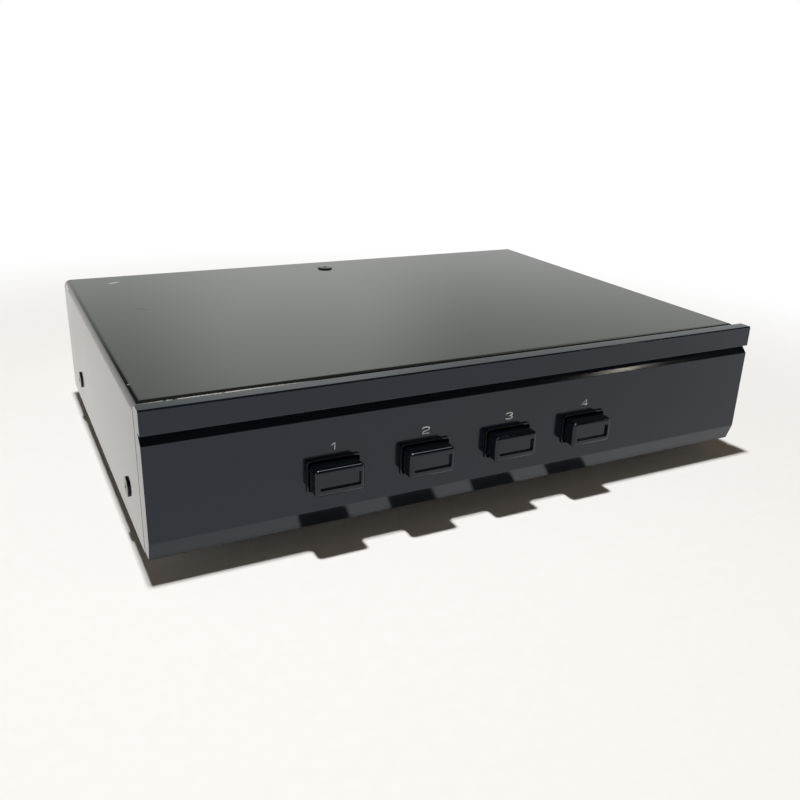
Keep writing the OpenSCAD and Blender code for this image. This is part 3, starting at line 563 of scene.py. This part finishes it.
class SELECTOR_OT_top_cover(bpy.types.Operator):
    """Fold the cover from one sheet: a top and two sides, with drilled screw holes"""
    bl_idname = "selector.top_cover"
    bl_label = "Top cover"

    def execute(self, context):
        cover = context.scene.selector.cover
        low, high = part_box("top_cover")
        piece = block("cover", low, high)
        edit(piece)
        pick("FACE", lambda place, normal: normal.z < -0.5 or abs(normal.y) > 0.5)
        bpy.ops.mesh.delete(type="FACE")
        pick("EDGE", lambda place, run: run.y > 0.9 and near(place.z, high.z))
        round_edges(cover.bend_radius, 8)
        face_outwards()
        done()
        modify(piece, "SOLIDIFY", thickness=cover.sheet, offset=-1, use_even_offset=True)
        centre = Vector((0, low.y + cover.front_radius * math.sin(cover.front_turn),
                         high.z - cover.front_radius))
        edit(piece)
        for i in range(cover.front_steps):
            turn = cover.front_turn * (i + 0.5) / cover.front_steps
            out = Vector((0, -math.sin(turn), math.cos(turn)))
            bpy.ops.mesh.select_all(action="SELECT")
            bpy.ops.mesh.bisect(plane_co=centre + out * cover.front_radius, plane_no=out,
                                clear_outer=True, use_fill=True, threshold=WELD)
        done()
        head = context.scene.selector.screw.head_height
        for place, axis in screw_places("cover_side_screws", head) + screw_places("cover_rear_screw", head):
            carve(piece, primitive("cylinder", "cover_hole", vertices=32, radius=cover.hole_radius,
                                   depth=6 * cover.sheet, location=place,
                                   rotation=axis.to_track_quat("Z", "Y").to_euler()))
        soften(piece, cover.edge, 40)
        finish = stove_enamel(tuple(cover.paint), tuple(cover.bare_metal_and_highlight),
                              Vector((low.x, low.y, high.z)))
        settle(piece, "case", finish, ["top_cover"])
        return {"FINISHED"}


def screw_places(node, head):
    """The seat and outward axis of each screw of a cover-screw node, whose heads are head high."""
    low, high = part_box(node)
    middle = (low + high) / 2
    if node == "cover_rear_screw":
        return [(Vector((middle.x, middle.y, high.z - head)), Vector((0, 0, 1)))]
    radius = (high.z - low.z) / 2
    return [(Vector((side * (high.x - head), y, middle.z)), Vector((side, 0, 0)))
            for side in (-1, 1) for y in (low.y + radius, high.y - radius)]


class SELECTOR_OT_front_panel(bpy.types.Operator):
    """Cut the panel's section from a plate, extrude it and open it for the buttons"""
    bl_idname = "selector.front_panel"
    bl_label = "Front panel"

    def execute(self, context):
        panel = context.scene.selector.panel
        low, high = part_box("front_panel")
        middle, size = (low + high) / 2, high - low
        lip = high.z - panel.lip_height
        face = lip - panel.groove_height
        piece = primitive("plane", "panel", size=1, location=(low.x, middle.y, middle.z),
                          rotation=(0, -math.pi / 2, 0), scale=(size.z, size.y, 1))
        edit(piece)
        # Each bevel as a point on its cut and the direction that it cuts away, in Y and Z
        bevels = [
            ((low.y, low.z + panel.chamfer_height), (-panel.chamfer_height, -panel.chamfer_depth)),
            ((low.y, high.z - panel.lip_bevel), (-1, 1)),
            ((high.y, high.z - panel.back_rise), (panel.back_rise, panel.back_run)),
        ]
        for (y, z), (out_y, out_z) in bevels:
            bpy.ops.mesh.select_all(action="SELECT")
            bpy.ops.mesh.bisect(plane_co=(low.x, y, z), plane_no=Vector((0, out_y, out_z)).normalized(),
                                clear_outer=True, threshold=WELD)
        bpy.ops.mesh.select_all(action="SELECT")
        bpy.ops.mesh.bisect(plane_co=(low.x, low.y, lip), plane_no=(0, 0, 1), threshold=WELD)
        pick("FACE", lambda place, normal: place.z < lip)
        slant = Vector((0, -panel.groove_height, panel.groove_depth)).normalized()
        bpy.ops.mesh.bisect(plane_co=(low.x, low.y, face), plane_no=slant, threshold=WELD)
        notch = Vector((low.x, low.y + panel.groove_depth / 3, lip - panel.groove_height / 3))
        pick("FACE", lambda place, normal: (place - notch).length < panel.groove_depth / 8)
        bpy.ops.mesh.delete(type="FACE")
        bpy.ops.mesh.select_mode(type="FACE")
        bpy.ops.mesh.select_all(action="SELECT")
        extrude(size.x, 0, 0)
        bpy.ops.mesh.select_all(action="SELECT")
        bpy.ops.mesh.remove_doubles(threshold=WELD)
        face_outwards()
        done()
        soften(piece, panel.edge, 8)
        for n in BUTTONS:
            carve(piece, bezel_bar("panel_opening", n, panel.opening_play, CUT))
        settle(piece, "case", black_anodising(tuple(panel.anodising)),
               ["front_panel"], 20)
        return {"FINISHED"}


def collar_box(n):
    """The box of a bezel's collar, without the flange behind the panel."""
    low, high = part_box(f"button_bezel_{n}")
    flange = bpy.context.scene.selector.button.bezel_flange
    margin = Vector((flange, 0, flange))
    return low + margin, high - margin


def bezel_bar(name, n, play=0.0, overshoot=0.0):
    """A bar along Y with round edges, as large as a bezel's collar with its play."""
    button = bpy.context.scene.selector.button
    low, high = collar_box(n)
    spread = Vector((play / 2, overshoot, play / 2))
    piece = block(name, low - spread, high + spread)
    edit(piece)
    pick("EDGE", lambda place, run: run.y > 0.9)
    round_edges(button.bezel_inside_radius + button.bezel_wall, 6)
    done()
    return piece


class SELECTOR_OT_bezels(bpy.types.Operator):
    """Make one bezel, a collar with a flange behind the panel, and copy it to each button"""
    bl_idname = "selector.bezels"
    bl_label = "Bezels"

    def execute(self, context):
        button = context.scene.selector.button
        low, high = collar_box(1)
        middle, reach = (low + high) / 2, (high - low) / 2
        flange = high.y - button.bezel_flange_thickness
        # The outline lies further out than these shares of the collar's half width and height
        side_share, corner_sum = 0.97, 1.86

        def outside(place, normal):
            return abs(normal.y) < 0.5 and (place - middle).dot(normal) > 0

        def front_outline(place, run):
            out = [abs(place[i] - middle[i]) / reach[i] for i in (0, 2)]
            return near(place.y, low.y) and (max(out) > side_share or sum(out) > corner_sum)

        piece = bezel_bar("bezel", 1)
        edit(piece)
        pick("FACE", lambda place, normal: abs(normal.y) > 0.9)
        bpy.ops.mesh.inset(thickness=button.bezel_wall, use_even_offset=True)
        bpy.ops.mesh.bridge_edge_loops()
        pick("FACE", outside)
        bpy.ops.mesh.bisect(plane_co=(0, flange, 0), plane_no=(0, 1, 0), threshold=WELD)
        pick("FACE", lambda place, normal: outside(place, normal) and place.y > flange)
        bpy.ops.mesh.extrude_region_shrink_fatten(
            TRANSFORM_OT_shrink_fatten={"value": button.bezel_flange, "use_even_offset": True})
        pick("EDGE", front_outline)
        round_edges(button.bezel_edge, 3)
        done()
        finish = gloss_moulding("gloss_black_bezel_moulding", tuple(button.moulding), (0.12, 0.2))
        for n in BUTTONS:
            twin = copy_of(piece, f"bezel_{n}", Matrix.Translation(button_step() * (n - 1)))
            settle(twin, "case", finish, [f"button_bezel_{n}"])
        bpy.data.objects.remove(piece)
        return {"FINISHED"}


def button_step():
    """From one button to the next."""
    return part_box("button_cap_2")[0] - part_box("button_cap_1")[0]


class SELECTOR_OT_caps(bpy.types.Operator):
    """Make one cap, a hollow moulding with round edges and a sunk field, and copy it"""
    bl_idname = "selector.caps"
    bl_label = "Button caps"

    def execute(self, context):
        button = context.scene.selector.button
        low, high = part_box("button_cap_1")
        piece = block("cap", low, high)
        edit(piece)
        pick("EDGE", lambda place, run: not near(place.y, high.y))
        round_edges(button.cap_edge, 6)
        pick("FACE", lambda place, normal: normal.y > 0.9)
        bpy.ops.mesh.inset(thickness=button.cap_wall, use_even_offset=True)
        extrude(0, low.y + button.cap_front - high.y, 0)
        done()
        border = Vector((button.field_side, 0, button.field_border))
        field_low, field_high = low + border, high - border
        field_low.y, field_high.y = low.y - CUT, low.y + button.field_depth
        field = block("cap_field", field_low, field_high)
        edit(field)
        pick("EDGE", lambda place, run: run.y > 0.9)
        round_edges(button.field_radius, 4)
        pick("EDGE", lambda place, run: near(place.y, field_high.y) and run.y < 0.1)
        round_edges(button.field_edge, 2)
        done()
        carve(piece, field)
        edit(piece)
        pick("EDGE", lambda place, run: near(place.y, low.y) and run.y < 0.1
             and field_low.x - NEAR < place.x < field_high.x + NEAR
             and field_low.z - NEAR < place.z < field_high.z + NEAR)
        round_edges(button.field_edge, 2)
        done()
        finish = gloss_moulding("gloss_black_cap_moulding", tuple(button.moulding), (0.08, 0.14))
        for n in BUTTONS:
            twin = copy_of(piece, f"cap_{n}", Matrix.Translation(button_step() * (n - 1)))
            settle(twin, f"button_{n}", finish, [f"button_cap_{n}"], 40)
        bpy.data.objects.remove(piece)
        return {"FINISHED"}


def arc(x, z, rx, rz, start, end, count=14):
    """Points along part of an ellipse, from one angle to another in degrees."""
    turns = [math.radians(start + (end - start) * i / count) for i in range(count + 1)]
    return [(x + rx * math.cos(turn), z + rz * math.sin(turn)) for turn in turns]


def digit_strokes(digit):
    """The strokes of a digit, as points across (0 to 1) and up (0 to 1)."""
    if digit == 1:
        return [[(0.2, 0.68), (0.62, 1.0), (0.62, 0.0)]]
    if digit == 2:
        return [arc(0.5, 0.76, 0.5, 0.24, 175, -15)
                + [(0.8, 0.5), (0.2, 0.34), (0.0, 0.0), (1.0, 0.0)]]
    if digit == 3:
        return [arc(0.5, 0.76, 0.48, 0.24, 170, -90) + arc(0.5, 0.26, 0.5, 0.26, 90, -170)]
    return [[(0.78, 0.0), (0.78, 1.0), (0.0, 0.3), (1.0, 0.3)]]


class SELECTOR_OT_digits(bpy.types.Operator):
    """Print the digits 1 to 4 above the buttons"""
    bl_idname = "selector.digits"
    bl_label = "Digits"

    def execute(self, context):
        digit = context.scene.selector.digit
        ink = printing_ink(tuple(digit.ink))
        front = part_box("front_panel")[0].y - digit.proud
        for n in BUTTONS:
            low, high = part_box(f"button_cap_{n}")
            middle = (low + high) / 2
            curve = bpy.data.curves.new(f"digit_{n}", "CURVE")
            curve.dimensions = "3D"
            curve.bevel_depth = digit.stroke / 2
            curve.bevel_resolution = 2
            curve.use_fill_caps = True
            for stroke in digit_strokes(n):
                line = curve.splines.new("POLY")
                line.points.add(len(stroke) - 1)
                for point, (across, up) in zip(line.points, stroke):
                    point.co = ((across - 0.5) * digit.width, 0, (up - 0.5) * digit.height, 1)
            piece = bpy.data.objects.new(f"digit_{n}", curve)
            context.collection.objects.link(piece)
            select_only(piece)
            bpy.ops.object.convert(target="MESH")
            piece = context.object
            piece.data.transform(Matrix.Translation((middle.x, front, middle.z + digit.rise))
                                 @ Matrix.Diagonal((1, digit.flatness, 1, 1)))
            settle(piece, "case", ink, None, 60)
        return {"FINISHED"}


class SELECTOR_OT_cover_screws(bpy.types.Operator):
    """Make one domed screw with a cross recess and copy it to the five places"""
    bl_idname = "selector.cover_screws"
    bl_label = "Cover screws"

    def execute(self, context):
        screw = context.scene.selector.screw
        top = screw.head_height
        piece = primitive("cylinder", "screw", vertices=64, radius=screw.head_radius,
                          depth=screw.head_rim, location=(0, 0, screw.head_rim / 2))
        dome = top - screw.head_rim
        sphere = (screw.head_radius ** 2 + dome ** 2) / (2 * dome)
        flat = 0.6  # What is left flat at the top of the dome, as a share of a step
        edit(piece)
        pick("FACE", lambda place, normal: normal.z > 0.9)
        radius, height = screw.head_radius, 0.0
        for i in range(1, screw.steps + 1):
            ring = screw.head_radius * math.cos(math.radians(90 * i / (screw.steps + flat)))
            rise = math.sqrt(sphere ** 2 - ring ** 2) - (sphere - dome)
            extrude(0, 0, rise - height)
            bpy.ops.transform.resize(value=(ring / radius, ring / radius, 1), center_override=(0, 0, 0))
            radius, height = ring, rise
        pick("FACE", lambda place, normal: normal.z < -0.9)
        bpy.ops.mesh.inset(thickness=screw.head_radius - screw.shank_radius)
        extrude(0, 0, -screw.shank_length)
        face_outwards()
        done()
        arm_x, arm_y = screw.recess_length / 2, screw.recess_width / 2
        bottom = top - screw.recess_depth
        taper = (0.55, 0.8, 1)  # What the recess keeps of its length and width at its bottom
        for turn in (0, math.pi / 2):
            cutter = block("recess", (-arm_x, -arm_y, bottom), (arm_x, arm_y, top + CUT))
            edit(cutter)
            pick("FACE", lambda place, normal: normal.z < -0.9)
            bpy.ops.transform.resize(value=taper, center_override=(0, 0, bottom))
            done()
            cutter.data.transform(Matrix.Rotation(turn, 4, "Z"))
            carve(piece, cutter)
        soften(piece, screw.edge, 38)
        finish = black_lacquer(tuple(screw.lacquer))
        places = {"cover_side_screws": ["side_screw_left_front", "side_screw_left_rear",
                                        "side_screw_right_front", "side_screw_right_rear"],
                  "cover_rear_screw": ["rear_screw"]}
        for node, names in places.items():
            for name, (place, axis) in zip(names, screw_places(node, top)):
                matrix = (Matrix.Translation(place) @ axis.to_track_quat("Z", "Y").to_matrix().to_4x4()
                          @ Matrix.Rotation(screw.recess_turn, 4, "Z"))
                settle(copy_of(piece, name, matrix), "case", finish, [node])
        bpy.data.objects.remove(piece)
        return {"FINISHED"}


class SELECTOR_OT_feet(bpy.types.Operator):
    """Turn one rubber foot with its sunk screw hole and copy it to the four corners"""
    bl_idname = "selector.feet"
    bl_label = "Feet"

    def execute(self, context):
        foot = context.scene.selector.foot
        nodes = ["foot_front_left", "foot_front_right", "foot_rear_left", "foot_rear_right"]
        low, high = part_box(nodes[0])
        height = high.z - low.z
        piece = primitive("cone", "foot", vertices=64, radius1=foot.lower_radius,
                          radius2=(high.x - low.x) / 2, depth=height, location=(0, 0, height / 2))
        edit(piece)
        pick("EDGE", lambda place, run: near(place.z, 0))
        round_edges(foot.edge, 4)
        pick("FACE", lambda place, normal: normal.z < -0.99 and near(place.z, 0))
        bpy.ops.mesh.inset(thickness=foot.lower_radius - foot.edge - foot.well_radius)
        extrude(0, 0, foot.well_depth)
        bpy.ops.mesh.inset(thickness=foot.well_radius - foot.hole_radius)
        extrude(0, 0, height - foot.well_depth - foot.skin)
        face_outwards()
        done()
        finish = moulded_rubber(tuple(foot.rubber))
        for node in nodes:
            low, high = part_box(node)
            middle = (low + high) / 2
            twin = copy_of(piece, f"rubber_{node}", Matrix.Translation((middle.x, middle.y, 0)))
            settle(twin, "case", finish, [node])
        bpy.data.objects.remove(piece)
        return {"FINISHED"}


class SELECTOR_OT_terminals(bpy.types.Operator):
    """Round the edges of the terminal blocks and give them and their screws a finish"""
    bl_idname = "selector.terminals"
    bl_label = "Terminals"

    def execute(self, context):
        terminal = context.scene.selector.terminal
        finish = satin_moulding("green_polyamide", tuple(terminal.moulding), linear("#2A6E40"))
        for node in [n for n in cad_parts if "_plug" in n or "_socket" in n]:
            piece = merged_copy(node, f"terminal_{node}")
            edit(piece)
            bpy.ops.mesh.select_all(action="SELECT")
            bpy.ops.mesh.dissolve_limited(angle_limit=math.radians(2))
            done()
            soften(piece, terminal.edge, 50)
            settle(piece, "case", finish, [node])
        dress(zinc_plating("zinc_plated_clamp_screws", tuple(terminal.plating), 0.001), "clamp_screws")
        return {"FINISHED"}


class SELECTOR_OT_springs(bpy.types.Operator):
    """Join up each return spring into a piece with its own mesh, and give the springs and the latch wire
    their finish
    """
    bl_idname = "selector.springs"
    bl_label = "Return springs"

    def execute(self, context):
        finish = spring_steel()
        for n in BUTTONS:
            piece = merged_copy(f"return_spring_{n}", f"spring_{n}")
            settle(piece, "case", finish, [f"return_spring_{n}"], 60)
            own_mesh(piece)
        dress(finish, "latch_wire")
        return {"FINISHED"}


class SELECTOR_OT_inside(bpy.types.Operator):
    """Give the chassis and everything inside the case its finish"""
    bl_idname = "selector.inside"
    bl_label = "Chassis and inside"

    def execute(self, context):
        plating = tuple(context.scene.selector.terminal.plating)
        dress(zinc_plating("zinc_plated_sheet", plating, 0.008), "chassis_base")
        dress(zinc_plating("zinc_plated_screws", plating, 0.001),
              "front_panel_screws", "foot_screws", "board_screws", "board_standoffs")
        dress(resist_coated_board(), "circuit_board")
        dress(white_ceramic(), "protection_resistors")
        dress(satin_moulding("black_polyester_moulding", linear("#191A1B"), linear("#202122")),
              "switch_housing")
        dress(satin_moulding("white_acetal", linear("#D6D4CB"), linear("#CAC7BD"), (0.3, 0.4)),
              "switch_slider")
        dress(silvered_brass(), "switch_contacts", "contact_bridges", "terminal_pins")
        return {"FINISHED"}


# ---------------------------------------------------------------- stage

WHITE = (1, 1, 1, 1)
FLOOR_SIZE = 40
FLOOR_CENTRE = (-0.05, -0.03, 0)  # The floor is lit round here, and fades to white further out
FLOOR_FADE = (0.17, 0.42)  # How far out the fade starts and ends
BRIGHTEST = (0.33, 0.9, 0.28)  # The direction in which the mirrored backdrop is brightest
GLINT_COLOUR = (1, 0.86, 0.66)


class Lamp(NamedTuple):
    """An area lamp: its place, what it is aimed at, its sizes in metres and its power in watts."""
    place: tuple
    target: tuple
    width: float
    depth: float
    power: float


LAMPS = {
    "overhead": Lamp((-0.098, -0.07, 1.016), (-0.098, -0.07, 0), 0.05, 0.05, 10.2),
    "sparkle": Lamp((-0.098, -0.07, 1.016), (-0.098, -0.07, 0), 0.05, 0.05, 40),
    "sheen": Lamp((0.37, 0.05, 1.0), (0, 0, 0), 0.5, 0.3, 1.6),
    "glint": Lamp((0.899, -0.541, 0.913), (0.052, -0.078, 0.042), 0.05, 0.04, 0.16),
}


def add_floor(stage):
    """A floor of white paper that fades to plain white away from the object."""
    floor = primitive("plane", "floor", size=FLOOR_SIZE, location=(0, 0, 0))
    material = grained("white_paper_sweep", tuple(stage.floor), linear("#F4F3F0"), Grain(0.004, 3.0),
                       Roughness=0.9, IOR=1.3)
    tree = material.node_tree
    coords = tree.nodes["Texture Coordinate"].outputs["Object"]
    away = add_node(tree, "ShaderNodeVectorMath", {"operation": "DISTANCE", 0: coords, 1: FLOOR_CENTRE})
    share = add_node(tree, "ShaderNodeMapRange",
                     {**SMOOTH, "Value": away.outputs["Value"], "From Min": FLOOR_FADE[0],
                      "From Max": FLOOR_FADE[1]})
    glow = add_node(tree, "ShaderNodeEmission", {"Color": WHITE, "Strength": 1.0})
    fade = add_node(tree, "ShaderNodeMixShader",
                    {0: share, 1: tree.nodes["Principled BSDF"], 2: glow})
    feed(tree, tree.nodes["Material Output"], {"Surface": fade})
    floor.data.materials.append(material)


def add_room(stage):
    """Plain white for the camera, a warm dim light, and a pale backdrop under a dark ceiling for
    what gloss and metal mirror."""
    world = bpy.data.worlds.new("white_room")
    bpy.context.scene.world = world
    world.use_nodes = True
    tree = world.node_tree
    tree.nodes.clear()
    direction = add_node(tree, "ShaderNodeTexCoord", {}).outputs["Generated"]
    off = add_node(tree, "ShaderNodeVectorMath", {"operation": "DISTANCE", 0: direction, 1: BRIGHTEST})
    height = add_node(tree, "ShaderNodeSeparateXYZ", {0: direction}).outputs[2]
    # What the backdrop turns to, and how much of it at the two ends of a value's range
    layers = [
        (tuple(stage.shade), off.outputs["Value"], (0.06, 0.22), (0, 1)),
        (WHITE, height, (0.08, 0.34), (1, 0)),
        (tuple(stage.ceiling), height, (0.42, 0.56), (0, 1)),
    ]
    backdrop = tuple(stage.sheen)
    for layer, value, (low, high), (least, most) in layers:
        share = add_node(tree, "ShaderNodeMapRange",
                         {**SMOOTH, "Value": value, "From Min": low, "From Max": high,
                          "To Min": least, "To Max": most})
        backdrop = add_node(tree, "ShaderNodeMix",
                            {"data_type": "RGBA", 0: share, 6: backdrop, 7: layer}).outputs[2]
    path = add_node(tree, "ShaderNodeLightPath", {})
    mirrored = add_node(tree, "ShaderNodeMath",
                        {"operation": "MAXIMUM", 0: path.outputs["Is Glossy Ray"],
                         1: path.outputs["Is Transmission Ray"]})
    lights = [(tuple(stage.room_light), stage.room_strength), (backdrop, 1.0), (WHITE, 1.0)]
    ambient, mirror, white = [add_node(tree, "ShaderNodeBackground", {"Color": light, "Strength": strength})
                              for light, strength in lights]
    room = add_node(tree, "ShaderNodeMixShader", {0: mirrored, 1: ambient, 2: mirror})
    shown = add_node(tree, "ShaderNodeMixShader",
                     {0: path.outputs["Is Camera Ray"], 1: room, 2: white})
    add_node(tree, "ShaderNodeOutputWorld", {"Surface": shown})


def add_lamp(name, values):
    bpy.ops.object.light_add(type="AREA", location=values.place)
    lamp = bpy.context.object
    lamp.name = lamp.data.name = name
    lamp.data.shape = "RECTANGLE"
    lamp.data.size, lamp.data.size_y = values.width, values.depth
    lamp.data.energy = values.power
    lamp.rotation_mode = "QUATERNION"
    lamp.rotation_quaternion = (Vector(values.place) - Vector(values.target)).to_track_quat("Z", "Y")
    return lamp


def add_camera(stage):
    bpy.ops.object.camera_add(location=stage.place)
    camera = bpy.context.object
    camera.rotation_mode = "QUATERNION"
    camera.rotation_quaternion = (Quaternion((0, 0, 1), stage.azimuth)
                                  @ Quaternion((1, 0, 0), math.pi / 2 - stage.elevation)
                                  @ Quaternion((0, 0, 1), stage.roll))
    camera.data.sensor_width = 36
    camera.data.lens = stage.lens
    camera.data.clip_start = 0.01
    bpy.context.scene.camera = camera


class SELECTOR_OT_stage(bpy.types.Operator):
    """Add the floor, the lamps, the white surroundings and the camera"""
    bl_idname = "selector.stage"
    bl_label = "Stage"

    def execute(self, context):
        stage = context.scene.selector.stage
        add_floor(stage)
        add_room(stage)
        lamps = {name: add_lamp(name, values) for name, values in LAMPS.items()}
        lamps["overhead"].visible_glossy = False
        lamps["glint"].data.color = GLINT_COLOUR
        caps = bpy.data.collections.new("lit_caps")
        for n in BUTTONS:
            caps.objects.link(bpy.data.objects[f"cap_{n}"])
        for name in ("sparkle", "sheen"):
            lamps[name].visible_diffuse = False
            lamps[name].light_linking.receiver_collection = caps
        add_camera(stage)
        context.scene.view_settings.view_transform = "Standard"
        return {"FINISHED"}


class SELECTOR_PT_sidebar(bpy.types.Panel):
    """Lists the pieces and their sizes"""
    bl_idname = "SELECTOR_PT_sidebar"
    bl_label = "Speaker selector switch"
    bl_space_type = "VIEW_3D"
    bl_region_type = "UI"
    bl_category = "Selector"

    def draw(self, context):
        settings = context.scene.selector
        for title, group, pieces in SECTIONS:
            box = self.layout.box()
            box.label(text=title)
            if group:
                values = getattr(settings, group)
                for name in values.__annotations__:
                    box.prop(values, name)
            for piece in pieces:
                box.operator(piece.bl_idname)


SECTIONS = [
    ("Cover", "cover", [SELECTOR_OT_top_cover]),
    ("Front panel", "panel", [SELECTOR_OT_front_panel]),
    ("Buttons", "button", [SELECTOR_OT_bezels, SELECTOR_OT_caps]),
    ("Digits", "digit", [SELECTOR_OT_digits]),
    ("Cover screws", "screw", [SELECTOR_OT_cover_screws]),
    ("Feet", "foot", [SELECTOR_OT_feet]),
    ("Terminals", "terminal", [SELECTOR_OT_terminals]),
    ("Chassis and inside", None, [SELECTOR_OT_springs, SELECTOR_OT_inside]),
    ("Stage", "stage", [SELECTOR_OT_stage]),
]
CLASSES = [
    CoverSettings, PanelSettings, ButtonSettings, DigitSettings, ScrewSettings, TerminalSettings,
    FootSettings, StageSettings, SelectorSettings,
    *[piece for section in SECTIONS for piece in section[2]],
    SELECTOR_PT_sidebar,
]


def register():
    for cls in CLASSES:
        bpy.utils.register_class(cls)
    bpy.types.Scene.selector = PointerProperty(type=SelectorSettings)


def unregister():
    del bpy.types.Scene.selector
    for cls in reversed(CLASSES):
        bpy.utils.unregister_class(cls)


def main():
    register()
    for section in SECTIONS:
        for piece in section[2]:
            family, name = piece.bl_idname.split(".")
            getattr(getattr(bpy.ops, family), name)()


if __name__ == "__main__":
    main()
